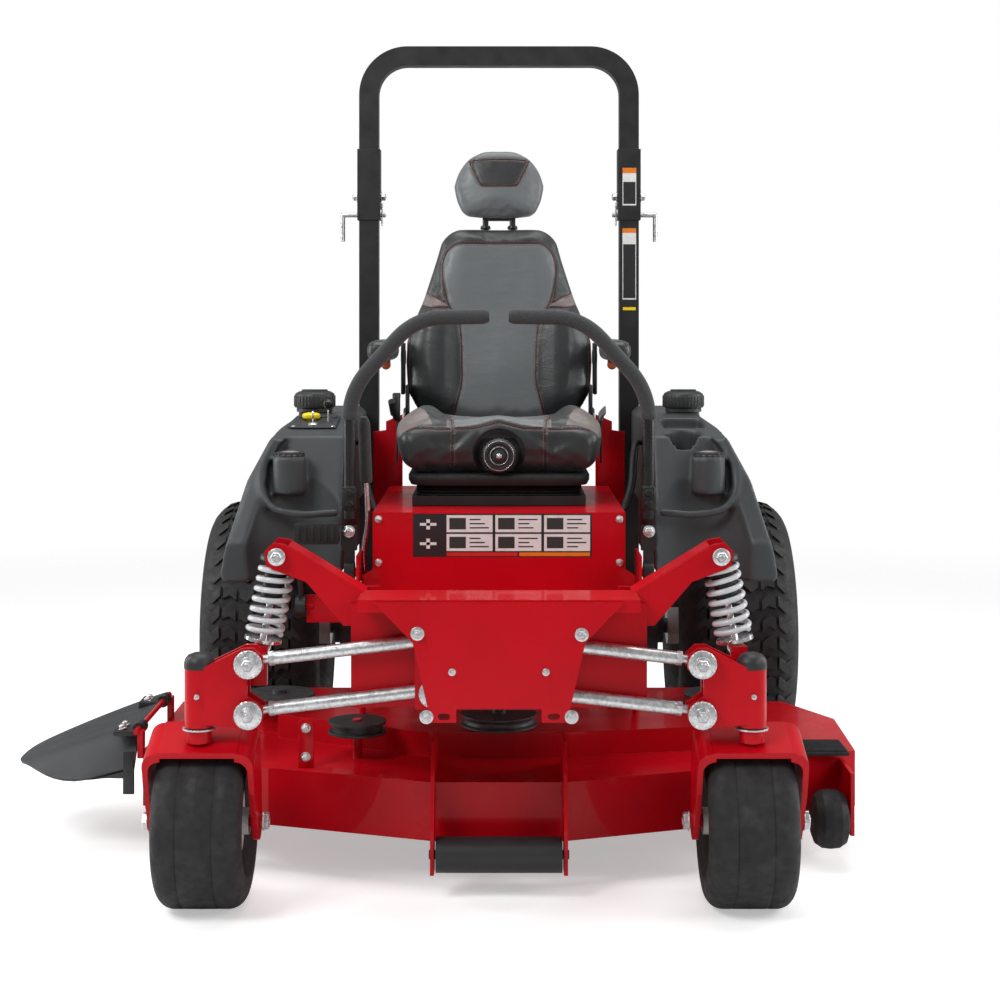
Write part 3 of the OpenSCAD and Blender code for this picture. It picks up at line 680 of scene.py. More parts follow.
def knob_dent(co):
    away = math.hypot(co.x - knob.x, co.z - knob.z) * 1000
    front = (co - ORIGIN).y * 1000
    if front < -60 and away < 62:
        floor = -100 + 38 * (-step_up(away, 46, 62))
        return co + Vector((0, max(0.0, floor - front) * 0.001, 0))
    return co


def cushion_seams():
    for s in (-1, 1):
        yield [(104 * s, -240, 815), (104 * s, -240, 905)], (0, 1, 0)
        yield [(104 * s, -128, 1000), (112 * s, -60, 1000), (118 * s, 60, 1000), (112 * s, 150, 1000)], (0, 0, -1)
        yield rounded([(108 * s, -122, 1000), (150 * s, -118, 1000), (212 * s, -108, 1000)], 30), (0, 0, -1)
    yield rounded([(-100, -122, 1000), (-50, -126, 1000), (50, -126, 1000), (100, -122, 1000)], 30), (0, 0, -1)


def cushion_zone(p):
    return (118 - abs(p.x)) if p.z > 880 and p.y > -118 else -10


bm = bmesh.new()
loft(bm, list(cushion_rings()))
upholster("seat_cushion_pad", bm, "seat", ["seat_cushion"], list(cushion_seams()), {
    "insert": cushion_zone,
    "accent": lambda p: depth_in(abs(p.x), p.y, [(150, -104), (250, -104), (250, 60), (205, 60)]) if p.z > 880 else -10,
}, 0.0055, 0.009, dent=knob_dent)

# Seat back: tall panel with side bolsters and a lighter insert
BACK_WIDTH = [(-22, 186), (60, 234), (130, 240), (190, 238), (250, 216), (300, 196), (400, 164), (445, 150), (480, 128)]
INSERT = [(115, -12), (97, 50), (90, 83), (91, 167), (96, 231), (110, 255), (123, 273), (137, 325), (143, 360),
          (140, 395), (128, 418), (108, 431)]
INSERT_LINE = rounded([(x, 0, z) for x, z in INSERT + [(-x, z) for x, z in INSERT[::-1]]], 14, 4)
INSERT_LOOP = [(p.x, p.z) for p in INSERT_LINE]


def back_front(x, z):
    """How far the front face stands forward of flat, in mm."""
    bolster = step_up(abs(x), 92, 150) * (1 - step_up(abs(x), 175, 240)) * step_up(z, -20, 60) * (1 - step_up(z, 220, 300))
    lumbar = 8 * math.exp(-((z - 110) / 70) ** 2) * math.exp(-(x / 70) ** 2)
    hollow = 5 * (1 - min(1.0, (x / 90) ** 2)) * step_up(z, 180, 300)
    return 16 * bolster + lumbar - hollow


def back_rings():
    for z, pull in stations(-22, 480, 30, 30):
        wide, thick = between(z, BACK_WIDTH) - pull * 0.8, 38 - pull * 0.55
        ring = []
        for cx, cy in oval(3.4, 80):
            x = wide * cx
            ring.append((x, 12 + thick * cy - (back_front(x, z) if cy < 0 else 0), z))
        yield ring


wedge = [(218, 292), (201, 322), (190, 316), (124, 272), (168, 272)]
bm = bmesh.new()
loft(bm, list(back_rings()))
upholster("seat_back_pad", bm, "seat_back", [], [
    ([(p.x, -200, p.z) for p in INSERT_LINE], (0, 1, 0)),
    *[([(s * x, -200, z) for x, z in ((232, 296), (168, 270), (124, 268))], (0, 1, 0)) for s in (-1, 1)],
    *[([(s * x, -200, z) for x, z in ((206, 322), (160, 298), (132, 282))], (0, 1, 0)) for s in (-1, 1)],
    *[([(s * x, -200, z) for x, z in ((150, -8), (205, 22), (222, 60), (226, 150), (222, 210), (206, 262))], (0, 1, 0))
      for s in (-1, 1)],
], {
    "insert": lambda p: depth_in(p.x, p.z, INSERT_LOOP) if p.y < 20 else -10,
    "accent": lambda p: depth_in(abs(p.x), p.z, wedge) if p.y < 30 else -10,
}, 0.0055, 0.009, lean=True)

# Headrest: rounded hexagon with a darker trapezoid sewn into its face
HEAD_WIDTH = [(508, 84), (518, 94), (545, 106), (581, 114), (615, 104), (640, 88), (655, 72), (669, 46)]
trapezoid = [(-79, 646), (79, 646), (46, 576), (-46, 576)]
TRAPEZOID_LINE = rounded([(x, -200, z) for x, z in trapezoid], 14, 5, closed=True)


def head_rings():
    for z, pull in stations(508, 670, 20, 20):
        wide, thick = between(z, HEAD_WIDTH) - pull * 0.25, 36 - pull * 0.9
        yield [(wide * cx, 1 + thick * cy, z) for cx, cy in oval(2.9, 64)]


bm = bmesh.new()
loft(bm, list(head_rings()))
upholster("headrest_pad", bm, "headrest", [], [(TRAPEZOID_LINE + TRAPEZOID_LINE[:1], (0, 1, 0))], {
    "insert": lambda p: -depth_in(p.x, p.z, trapezoid) if p.y < 20 else 5,
}, 0.0045, 0.006, lean=True)


# Armrests: capsule pads
def arm_rings(s):
    for y, pull in stations(41, 344, 24, 18):
        wide, tall = 31 - pull * 0.75, 25 - pull * 0.7
        yield [(s * 279 + wide * cx, y, 1072 + tall * cz - 3 * step_up(y, 250, 344)) for cx, cz in oval(2.8, 40)]


for label, s in SIDES:
    bm = bmesh.new()
    loft(bm, list(arm_rings(s)))
    upholster(label + "_armrest_pad", bm, label + "_armrest", [label + "_armrest"], [
        ([(s * 279 + 28, 60, 1200), (s * 279 + 27, 200, 1200), (s * 279 + 26, 325, 1200)], (0, 0, -1)),
        ([(s * 279 - 28, 60, 1200), (s * 279 - 27, 200, 1200), (s * 279 - 26, 325, 1200)], (0, 0, -1)),
    ], {"insert": lambda p: -5}, 0.0045, 0.004)


# ---------------------------------------------------------------- tanks
def softened(name, node, material, body, voxel, passes, added, cut):
    """The shape of a CAD node with the rounded edges of a moulding, in place of that node."""
    obj = new_object(name, NODES[node].data.copy())
    skin = bmesh.new()
    skin.from_mesh(obj.data)
    bmesh.ops.remove_doubles(skin, verts=skin.verts, dist=1e-6)
    skin.to_mesh(obj.data)
    skin.free()
    tool = new_object("tool", bpy.data.meshes.new("tool"))
    bmesh.ops.recalc_face_normals(cut, faces=cut.faces)
    cut.to_mesh(tool.data)
    step = obj.modifiers.new("step", "BOOLEAN")
    step.operation, step.solver, step.object = "DIFFERENCE", "EXACT", tool
    evaluated(obj)
    # The remesh below makes one skin of the tank and the solids that overlap it
    bmesh.ops.recalc_face_normals(added, faces=added.faces)
    added.to_mesh(tool.data)
    added.clear()
    added.from_mesh(obj.data)
    added.from_mesh(tool.data)
    added.to_mesh(obj.data)
    added.free()
    cut.free()
    bpy.data.objects.remove(tool)
    obj.modifiers.new("skin", "REMESH").voxel_size = voxel
    evaluated(obj)
    relax = obj.modifiers.new("relax", "SMOOTH")
    relax.factor, relax.iterations = 0.5, passes
    evaluated(obj)
    dress(obj, material, body, 180.0)
    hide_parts(node)
    return obj


def slanted(x, z, depth):
    """A point behind the tank's leaning front face by a depth, in mm."""
    return (x, -250 + 0.445 * (z - 680) + depth, z)


LEG_HOLLOW = [(330, 736), (430, 730), (488, 742), (514, 775), (512, 822), (488, 868), (462, 892), (330, 892)]
GAUGE = (462, -192)
for label, s in SIDES:
    hollow, boss = bmesh.new(), bmesh.new()
    front = [slanted(s * x, z, -190) for x, z in LEG_HOLLOW]
    back = [slanted(s * x, z, 30) for x, z in LEG_HOLLOW]
    loft(hollow, [front, back])
    x, y = s * GAUGE[0], GAUGE[1]
    rod(boss, (x, y, 762), (x, y, 846), 37, 4, 48)
    block(boss, (x - 30, y, 756), (x + 30, y + 60, 838), 8)
    # Draped lip along the outer edge
    lip = rounded([(352, 724, 0), (430, 718, 0), (500, 730, 0), (528, 775, 0), (526, 828, 0), (498, 880, 0)], 30, 5)
    tube(boss, [slanted(s * p.x, p.y, 6) for p in lip], 9, 10)
    softened(label + "_tank_shell", label + "_tank", TANK, "frame", 0.0045, 6, boss, hollow)

# ---------------------------------------------------------------- control levers
for label, s in SIDES:
    path = [(s * 323, -275, 716), (s * 323, -275, 992), (s * 180, -275, 1150), (s * 24, -275, 1153)]
    bend = rounded(path, 62, 12)
    bm = bmesh.new()
    tube(bm, bend[:2], 12.7, 28)
    for z in (748, 772):
        lathe(bm, (s * 323, -288, z), (0, -1, 0), [(0, 0), (9, 0), (9, 2), (7.5, 6), (0, 6.5)], 6)
    block(bm, (s * 323 - 14, -290, 735), (s * 323 + 14, -262, 786), 3)
    shaft = piece(label + "_lever_shaft", bm, STEEL_BLACK, label + "_lever")
    bm = bmesh.new()
    grip = spread([p for p in bend if p.z > 925], 6.0) + [Vector((s * 21, -275, 1153))]
    thick = [14.2, 17.8, 17.2] + [16.6] * (len(grip) - 5) + [15.8, 12.0]
    tube(bm, grip, thick, 28)
    foam_grip = piece(label + "_lever_grip", bm, FOAM, label + "_lever", 50)
    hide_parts(label + "_lever")

# Brake lever: bent rod with a long foam grip
knee, grip_from, grip_to = Vector((-287, -222, 700)), Vector((-290, -229, 790)), Vector((-295, -240, 929))
bm = bmesh.new()
lathe(bm, (-298, -215, 560), (1, 0, 0), [(8.1, 0), (18, 0), (18, 11), (8.1, 11)], 32, closed=True)
tube(bm, rounded([(-292, -217, 574), (-299, -220, 640), knee, grip_from, grip_to], 40, 8), 6.0, 16)
brake_rod = piece("brake_rod", bm, CHROME, "brake_lever")
bm = bmesh.new()
grip = spread([grip_from, grip_to], 8.0) + [grip_to + Vector((0, -1, 5))]
tube(bm, grip, [12.0] + [13.4] * (len(grip) - 3) + [11.5, 7.5], 24)
piece("brake_grip", bm, FOAM, "brake_lever", 50)
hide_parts("brake_lever")

# ---------------------------------------------------------------- tyres and wheels
def crown(x, half, top, shoulder):
    """Radius of a tyre's outside at a distance from its middle."""
    over = max(0.0, abs(x) - (half - shoulder))
    return top - shoulder + math.sqrt(max(0.0, shoulder ** 2 - over ** 2))


def lug(bm, centre, outline, height, radius):
    """One tread block: an outline in (mm across, degrees round), standing on the carcass."""
    foot, head = [], []
    for x, degrees in outline:
        a = math.radians(degrees)
        base = radius(x)
        for ring, r, pull in ((foot, base - 3, 1.0), (head, base + height, 0.94)):
            ring.append(bm.verts.new(at(centre[0] + x * pull, centre[1] + r * math.cos(a), centre[2] + r * math.sin(a))))
    bm.faces.new(head)
    for k in range(len(foot)):
        n = (k + 1) % len(foot)
        bm.faces.new((foot[k], foot[n], head[n], head[k]))


def rear_profile(x):
    return crown(x, 149, 321, 58)


for label, s in SIDES:
    body = label + "_rear_wheel"
    hub = (middle(label + "_rear_tyre") - ORIGIN) * 1000
    bm = bmesh.new()
    side = [(157, -112), (172, -131), (190, -138), (214, -146), (236, -149), (240, -151), (246, -149.5)]
    over = [(rear_profile(x), x) for x in [-149, -146, -140, -130, -118, -104, -90, -60, -30, 0]]
    half_section = side + over
    section = half_section + [(r, -x) for r, x in half_section[-2::-1]]
    lathe(bm, hub, (1, 0, 0), [(r, x) for r, x in section] + [(150, 108), (150, -108)], 96, closed=True)
    pitch = 360 / 40
    for k in range(40):
        a = k * pitch
        for side_x in (-1, 1):
            for near, far, skew, late in ((6, 44, 2.6, 0), (52, 88, -2.6, 2.2), (96, 134, 2.8, 0)):
                x0, x1 = side_x * near, side_x * far
                xm = (x0 + x1) / 2
                b = a + late + (pitch / 2 if side_x > 0 else 0)
                lug(bm, hub, [(x0, b), (xm, b + skew), (x1, b + skew * 0.4), (x1, b + skew * 0.4 + 4.6),
                              (xm, b + skew + 4.9), (x0, b + 4.6)], 9 if far < 120 else 8.2, rear_profile)
    tyre = piece(label + "_rear_tread", bm, TYRE, body, 40)
    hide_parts(label + "_rear_tyre")
    bm = bmesh.new()
    for k in range(5):
        a = math.radians(k * 72 + 20)
        hex_bolt(bm, (hub[0] + s * -34 + s * 18, hub[1] + 64 * math.cos(a), hub[2] + 64 * math.sin(a)), (s, 0, 0), 19, 12, 0)
    lathe(bm, (hub[0] + s * -38, hub[1], hub[2]), (s, 0, 0), [(0, 0), (26, 0), (26, 14), (22, 18), (0, 19)], 32)
    rod(bm, (hub[0] - s * 60, hub[1] + 120, hub[2] + 60), (hub[0] - s * 28, hub[1] + 124, hub[2] + 62), 4.5)
    piece(label + "_wheel_nuts", bm, ZINC, body)

    # Smooth caster tyre: moulding seam, shoulder rings, bead line
    hub = (middle(label + "_caster_tyre") - ORIGIN) * 1000
    bm = bmesh.new()
    section = [(79, -64), (86, -72), (96, -78), (108, -84), (111, -85.6), (114, -84.8), (126, -86)]
    for k in range(13):
        a = math.radians(k * 7.5)
        section.append((131 + 33.6 * math.sin(a), -86 + 34 - 34 * math.cos(a)))
    section += [(164.6, -36), (162.9, -35), (162.9, -33.6), (164.6, -32.6), (164.8, -2), (165, -1.2)]
    section += [(r, -x) for r, x in section[::-1]]
    lathe(bm, hub, (1, 0, 0), section + [(77, 60), (77, -60)], 96, closed=True)
    tyre = piece(label + "_caster_tread", bm, TYRE, label + "_caster_wheel", 60)
    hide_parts(label + "_caster_tyre")

# ---------------------------------------------------------------- coil springs
def stretched(name, bm, material, angle):
    """A piece on no body, with its transform baked into its mesh."""
    mesh = bpy.data.meshes.new(name)
    bmesh.ops.recalc_face_normals(bm, faces=bm.faces)
    bm.to_mesh(mesh)
    bm.free()
    obj = new_object(name, mesh)
    dress(obj, material, None, angle)
    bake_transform(obj)
    return obj


for label, s in SIDES:
    top, foot = Vector((s * 428, -660, 690)), Vector((s * 464, -660, 505))
    along = (foot - top).normalized()
    up = Vector((0, 1, 0))
    across = along.cross(up)
    reach, turns, steps = (20.0, 163.0), 7.2, 190
    helix = []
    for k in range(steps + 1):
        t = k / steps
        flat = min(1.0, min(t, 1 - t) / 0.09)
        drop = reach[0] + (reach[1] - reach[0]) * (0.035 * (1 if t < 0.5 else -1) * (1 - flat) + t)
        a = t * turns * math.tau
        helix.append(top + along * drop + (up * math.cos(a) + across * math.sin(a)) * (31.5 + 1.5 * t))
    bm = bmesh.new()
    tube(bm, helix, 5.4, 12)
    coil = stretched(label + "_coil", bm, SILVER, 60)
    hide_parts(label + "_spring")

# ---------------------------------------------------------------- fasteners and small steel parts
def fasteners(name, body, spots, across=16.0, height=8.0, washer=13.0):
    """Bolts at (point, axis) spots, as one piece."""
    bm = bmesh.new()
    for spot, axis in spots:
        hex_bolt(bm, spot, axis, across, height, washer)
    return piece(name, bm, ZINC, body)


def face_y(node):
    """The foremost Y of a CAD node, in chassis mm."""
    return (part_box(node)[0].y - ORIGIN.y) * 1000


cover_y = face_y("front_cover")
fasteners("cover_bolts", "frame", [((x, cover_y, z), (0, -1, 0)) for x, z in (
    (-153, 558), (155, 556), (-136, 402), (136, 402))], 16, 8, 13)
fasteners("cover_screws", "frame", [((x, cover_y, 486), (0, -1, 0)) for x in (-88, 88)], 8, 4, 7)
fasteners("seat_box_bolts", "frame", [((x, -254, z), (0, -1, 0)) for x in (-262, 262) for z in (618, 712)], 10, 5, 8)

for label, s in SIDES:
    # Pale bushes with bolt heads at the top eye, ribbed washers at the link pivots
    fasteners(label + "_tower_bolt", "frame", [((s * 428, -716, 690), (0, -1, 0))], 19, 10, 17)
    for which, body in (("upper", "_upper_link"), ("lower", "_lower_link")):
        low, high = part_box(f"{label}_{which}_link")
        low, high = (low - ORIGIN) * 1000, (high - ORIGIN) * 1000
        inner, outer = (-45 + s * 80, -45 + s * 430.5)
        z_in, z_out = {"upper": (534, 493), "lower": (438, 397)}[which]
        bm = bmesh.new()
        for x, z in ((inner, z_in), (outer, z_out)):
            lathe(bm, (x, low.y - 1, z), (0, -1, 0), [(0, 0), (26, 0), (27, 2), (27, 5), (24, 7), (0, 7)], 40)
            for k in range(20):
                a = k * math.tau / 20
                rod(bm, (x + 25 * math.cos(a), low.y + 1, z + 25 * math.sin(a)),
                    (x + 25 * math.cos(a), low.y - 8, z + 25 * math.sin(a)), 2.2, 0.4, 8)
            hex_bolt(bm, (x, low.y - 8, z), (0, -1, 0), 21, 11, 15)
        piece(f"{label}_{which}_link_washers", bm, ZINC, label + body)
    # Kingpin: black cap and grease nipple over the barrel
    pin = -45 + s * 529
    bm = bmesh.new()
    lathe(bm, (pin, -730, 478), (0, 0, 1), [
        (0, 0), (26, 0), (29, 2), (29, 12), (27, 20), (21, 27), (11, 31), (0, 32)], 48)
    piece(label + "_kingpin_cap", bm, PLASTIC, label + "_upright")
    bm = bmesh.new()
    lathe(bm, (pin, -760, 430), (0, -1, 0), [(0, 0), (5, 0), (5, 3), (2.6, 4), (2.6, 8), (3.4, 9), (3.4, 11), (0, 12)], 16)
    lathe(bm, (pin, -730, 366), (0, 0, -1), [(14, 0), (32, 0), (32, 3), (14, 3)], 40, closed=True)
    piece(label + "_kingpin_fittings", bm, ZINC, label + "_upright")
    # Caster axle ends
    hub = (middle(label + "_caster_rim") - ORIGIN) * 1000
    fasteners(label + "_caster_axle", label + "_fork",
              [((hub.x + t * 112, hub.y, hub.z), (t, 0, 0)) for t in (-1, 1)], 30, 10, 19)
    # Swing bolt on the lever base
    fasteners(label + "_lever_pivot", label + "_lever", [((s * 323, -292, 690), (0, -1, 0))], 17, 8, 13)
    # ROPS: bolts through the cheeks, hairpin on the locking pin
    fasteners(label + "_rops_pivot_bolt", "rops_hoop",
              [((s * (343.4 + t * 31), 620, 1470), (s * t, 0, 0)) for t in (-1, 1)], 19, 10, 14)
    bm = bmesh.new()
    tube(bm, rounded([(s * 309, 620, 1394), (s * 309, 620, 1452), (s * 309, 604, 1452), (s * 309, 604, 1428),
                      (s * 309, 612, 1418), (s * 309, 604, 1394)], 8, 6), 1.7, 10)
    piece(label + "_hairpin", bm, ZINC, label + "_rops_pin")

# Black damper body bands and rod wipers
for label, s in SIDES:
    top, foot = Vector((s * 428, -660, 690)), Vector((s * 464, -660, 505))
    along = (foot - top).normalized()
    bm = bmesh.new()
    for d in (30, 38, 46, 84):
        lathe(bm, top + along * d, along, [(20, 0), (22.5, 0.8), (22.5, 3.2), (20, 4)], 36, closed=True)
    piece(label + "_damper_bands", bm, PLASTIC, label + "_damper")

# ---------------------------------------------------------------- console on the operator's right
bm = bmesh.new()
plate(bm, [(-372, -60, 897.5), (-372, 62, 916.8), (-474, 62, 916.8), (-486, -40, 900.6), (-474, -60, 897.5)],
      (0, 0.6, 4.0), 1.4)
for k in range(4):
    lathe(bm, (-384 - 26 * k, 40, 917), (0, -0.156, 0.988), [(0, 0), (8, 0), (8, 3), (6, 5), (0, 5)], 20)
piece("switch_panel", bm, PANEL, "frame")
bm = bmesh.new()
lathe(bm, (-426, -40, 904), (0, -0.156, 0.988), [(0, 0), (11, 0), (11, 4), (8, 6), (0, 6)], 28)
block(bm, (-428, -43, 909), (-424, -37, 927), 0.8)
lathe(bm, (-426, -40, 927), (1, 0, 0), [(0, -1.5), (10, -1.5), (10, 1.5), (0, 1.5)], 24)
for x in (-372 - 8, -470):
    lathe(bm, (x, -50, 902), (0, -0.156, 0.988), [(0, 0), (5, 0), (4, 2), (0, 2.6)], 16)
piece("ignition_key", bm, CHROME, "frame")

# Blade switch: a mushroom head on a stem
bm = bmesh.new()
lathe(bm, (-436, 20, 880), (0, 0, 1), [
    (0, 0), (11, 0), (11, 30), (12, 34), (19.5, 37), (21.5, 41), (21, 45), (17, 48.5), (9, 50), (0, 50.2)], 40)
head = piece("blade_switch", bm, YELLOW, "blade_knob")
bm = bmesh.new()
lathe(bm, (-436, 20, 902), (0, -0.156, 0.988), [(12, 0), (20, 0), (20, 4), (17, 7), (12, 7)], 36, closed=True)
piece("blade_switch_collar", bm, PLASTIC, "frame")
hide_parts("blade_knob")

# Throttle: a flat steel stalk with a ball
bm = bmesh.new()
plate(bm, [(-393.4, -3.5, 850), (-393.4, 3.5, 850), (-393.4, 2.6, 945), (-393.4, -2.6, 945)], (-3.2, 0, 0), 0.5)
lathe(bm, (-399, 0, 850), (1, 0, 0), [(4.1, 0), (11, 0), (11, 8), (4.1, 8)], 24, closed=True)
stalk = piece("throttle_stalk", bm, CHROME, "throttle")
bm = bmesh.new()
lathe(bm, (-395, 0, 938), (0, 0, 1), [(0, 0), (5, 0), (5.5, 3), (9, 6), (11.8, 12), (11.2, 18), (7, 22.4), (0, 23.6)], 32)
piece("throttle_ball", bm, STEEL_BLACK, "throttle")
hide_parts("throttle_lever")

# ---------------------------------------------------------------- tank fittings
for label, s in SIDES:
    bm = bmesh.new()
    lathe(bm, (s * GAUGE[0], GAUGE[1], 844), (0, 0, 1), [
        (0, 0), (33, 0), (33, 3), (30, 6), (30, 9), (27, 11), (23, 11), (22, 9.4), (0, 9.4)], 48)
    for k in range(14):
        a = k * math.tau / 14
        x, y = s * GAUGE[0] + 31.5 * math.cos(a), GAUGE[1] + 31.5 * math.sin(a)
        rod(bm, (x, y, 845), (x, y, 853), 2.4, 0.5, 8)
    piece(label + "_gauge_ring", bm, PLASTIC, "frame")
    bm = bmesh.new()
    lathe(bm, (s * GAUGE[0], GAUGE[1], 853), (0, 0, 1), [(0, 0), (22, 0), (21, 1.6), (12, 3.4), (0, 4)], 40)
    piece(label + "_gauge_lens", bm, GLASS, "frame")
    # Fuel cap: fluted skirt, stepped top with a grip bar
    bm = bmesh.new()
    flutes = 36
    rings = [(47, 0), (48.5, 3), (48.5, 27), (46, 33), (38, 38), (33, 39), (31, 36), (0, 36)]
    lathe(bm, (s * 441, 150, 936), (0, 0, 1), [(0, 0)] + rings, 72)
    for k in range(flutes):
        a = k * math.tau / flutes
        x, y = s * 441 + 48 * math.cos(a), 150 + 48 * math.sin(a)
        rod(bm, (x, y, 939), (x, y, 964), 1.9, 0.8, 8)
    block(bm, (s * 441 - 31, 143, 970), (s * 441 + 31, 157, 979), 3)
    cap = piece(label + "_fuel_cap_body", bm, PLASTIC, label + "_fuel_cap")
    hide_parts(label + "_fuel_cap")
    bm = bmesh.new()
    lathe(bm, (s * 441, 150, 926), (0, 0, 1), [(36, 0), (43, 0), (43, 9), (36, 9)], 56, closed=True)
    piece(label + "_filler_ring", bm, PLASTIC, "frame")

# ---------------------------------------------------------------- seat hardware
bm = bmesh.new()
lathe(bm, (0, -126, 842), (0, -1, 0), [
    (0, 0), (30, 0), (36, 3), (38, 8), (38, 22), (34, 26), (27, 27), (25, 24), (14, 24), (13, 30), (7, 32), (0, 32)], 60)
for k in range(24):
    a = k * math.tau / 24
    rod(bm, (37.5 * math.cos(a), -130, 842 + 37.5 * math.sin(a)), (37.5 * math.cos(a), -147, 842 + 37.5 * math.sin(a)),
        2.4, 0.6, 8)
dial = piece("weight_dial", bm, PLASTIC, "seat_knob")
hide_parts("seat_knob")
bm = bmesh.new()
for r in (33, 20):
    lathe(bm, (0, -152, 842), (0, -1, 0), [(r - 1, 0), (r + 1, 0), (r + 0.6, 1.4), (r - 0.6, 1.4)], 60, closed=True)
hex_bolt(bm, (0, -157, 842), (0, -1, 0), 9, 3, 6)
piece("weight_dial_trim", bm, CHROME, "seat_knob")

# Headrest stays and seat back shell
bm = bmesh.new()
for s in (-1, 1):
    block(bm, (s * 34 - 7.5, 3, 372), (s * 34 + 7.5, 17, 522), 2)
    lathe(bm, (s * 34, 10, 476), (0, 0, 1), [(0, 0), (13, 0), (12, 7), (0, 8)], 28)
block(bm, (-34, 4, 497), (34, 16, 509), 3)
stays = piece("headrest_stays", bm, STEEL_BLACK, "headrest")
stays.data.transform(LEAN)
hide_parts("headrest")
bm = bmesh.new()
plate(bm, [(x, 44, z) for x, z in ((-150, 10), (-196, 70), (-200, 190), (-178, 262), (-132, 400), (-96, 452),
                                    (96, 452), (132, 400), (178, 262), (200, 190), (196, 70), (150, 10))], (0, 12, 0), 5)
for x in (-120, -60, 0, 60, 120):
    block(bm, (x - 4, 54, 60), (x + 4, 60, 380), 2)
shell = piece("seat_back_shell", bm, PLASTIC, "seat_back")
shell.data.transform(LEAN)
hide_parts("seat_back")
for label, s in SIDES:
    # Hinge bracket, recline lever, armrest post with its amber height knob
    bm = bmesh.new()
    block(bm, (s * 226 - 4, 262, 870), (s * 226 + 4, 322, 985), 3)
    block(bm, (s * 238 - 5, 300, 960), (s * 238 + 5, 345, 1088), 3)
    lathe(bm, (s * 222, 300, 905), (s, 0, 0), [(0, 0), (24, 0), (24, 10), (20, 14), (0, 14)], 36)
    lathe(bm, (s * 232, 330, 1052), (s, 0, 0), [(0, 0), (17, 0), (17, 12), (0, 12)], 32)
    piece(label + "_back_hinge", bm, STEEL_BLACK, "seat_back")
    bm = bmesh.new()
    block(bm, (s * 279 - 9, 296, 1026), (s * 279 + 9, 330, 1050), 3)
    lathe(bm, (s * 279, 296, 1034), (0, -1, 0), [(0, 0), (11, 0), (12, 3), (12, 10), (9, 14), (0, 15)], 12)
    piece(label + "_armrest_knob", bm, (AMBER,), label + "_armrest")
bm = bmesh.new()
tube(bm, rounded([(-240, 250, 900), (-250, 190, 905), (-252, 150, 925)], 20), 5.5, 14)
tube(bm, spread([(-252, 156, 920), (-256, 128, 952)], 6.0), 8.5, 18)
piece("recline_handle", bm, PLASTIC, "seat")

# Lap belt: webbing, buckle and stalk
bm = bmesh.new()
for k, (x, low) in enumerate(((-246, 800), (246, 800))):
    block(bm, (x - 2, 180, low), (x + 2, 226, low + 118), 1.2)
tube(bm, rounded([(246, 200, 900), (244, 120, 930), (240, 20, 938), (236, -60, 925)], 60, 8), 12, 12, squeeze=0.18)
piece("lap_belt", bm, WEBBING, "seat")
bm = bmesh.new()
block(bm, (-256, 168, 905), (-240, 226, 965), 5, 3)
block(bm, (-257, 180, 955), (-239, 214, 968), 2)
piece("belt_buckle", bm, (PLASTIC,), "seat")

# Moulded skirt and bellows round the seat's suspension
def skirt_ring(grow, z):
    """A rounded rectangle round the seat's suspension."""
    return [((203 + grow) * cx, 63 + (197 + grow) * cy, z) for cx, cy in oval(9.0, 96)]


bm = bmesh.new()
rings = [skirt_ring(-2, 774), skirt_ring(3, 784), skirt_ring(3, 794), skirt_ring(0, 798), skirt_ring(-8, 800),
         skirt_ring(-60, 801)]
made = [[bm.verts.new(at(*p)) for p in ring] for ring in rings]
for a, b in zip(made, made[1:]):
    for k in range(len(a)):
        n = (k + 1) % len(a)
        bm.faces.new((a[k], a[n], b[n], b[k]))
bm.faces.new(made[-1])
bmesh.ops.recalc_face_normals(bm, faces=bm.faces)
bmesh.ops.solidify(bm, geom=list(bm.faces), thickness=0.003)
skirt = piece("seat_skirt", bm, RUBBER, "seat_carriage", 60)
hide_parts("seat_carriage")
bm = bmesh.new()
loft(bm, [skirt_ring(-14 - 9 * (k % 2), 752 + 3.4 * k) for k in range(11)])
stretched("seat_bellows", bm, RUBBER, 30)

# ---------------------------------------------------------------- instruction film on the seat box
bm = bmesh.new()
FILM_Y = -254.0
film = (INK_BLACK, WHITE, INK_RED, INK_ORANGE, PANEL)


def patch(bm, x0, x1, z0, z1, index, lift=0.3):
    """A thin printed rectangle on the seat box's front."""
    before = set(bm.faces)
    block(bm, (x0, FILM_Y - lift, z0), (x1, FILM_Y + 0.2, z1), 0)
    for face in set(bm.faces) - before:
        face.material_index = index


patch(bm, -187, 202, 630, 724, 0, 0.3)
for k, x in enumerate((-114, -8, 98)):
    for z in (643, 684):
        patch(bm, x, x + 100, z, z + 37, 1, 0.5)
        patch(bm, x + 6, x + 42, z + 6, z + 31, 4, 0.6)
        for row in range(3):
            patch(bm, x + 50, x + 92 - 9 * ((row + k) % 3), z + 8 + row * 9, z + 11 + row * 9, 4, 0.6)
patch(bm, -114, 40, 632, 640, 2, 0.5)
patch(bm, 44, 198, 632, 640, 3, 0.5)
for z in (648, 690):
    patch(bm, -158, -150, z, z + 22, 1, 0.5)
    patch(bm, -172, -136, z + 8, z + 14, 1, 0.5)
piece("instruction_film", bm, film, "frame")

# ---------------------------------------------------------------- deck parts
bm = bmesh.new()
block(bm, (620, -335, 216), (748, -225, 224), 3)
for k in range(9):
    block(bm, (626, -331 + 11.6 * k, 222), (742, -326 + 11.6 * k, 229), 1.4)
piece("step_pad", bm, RUBBER, "deck")
bm = bmesh.new()
plate(bm, [(-418, -424, 214), (-386, -424, 214), (-386, -424, 306), (-394, -424, 316), (-410, -424, 316), (-418, -424, 306)],
      (0, 6, 0), 1)
piece("idler_bracket", bm, RED, "deck")
fasteners("idler_bracket_bolts", "deck", [((-402, -424, z), (0, -1, 0)) for z in (236, 296)], 13, 7, 10)

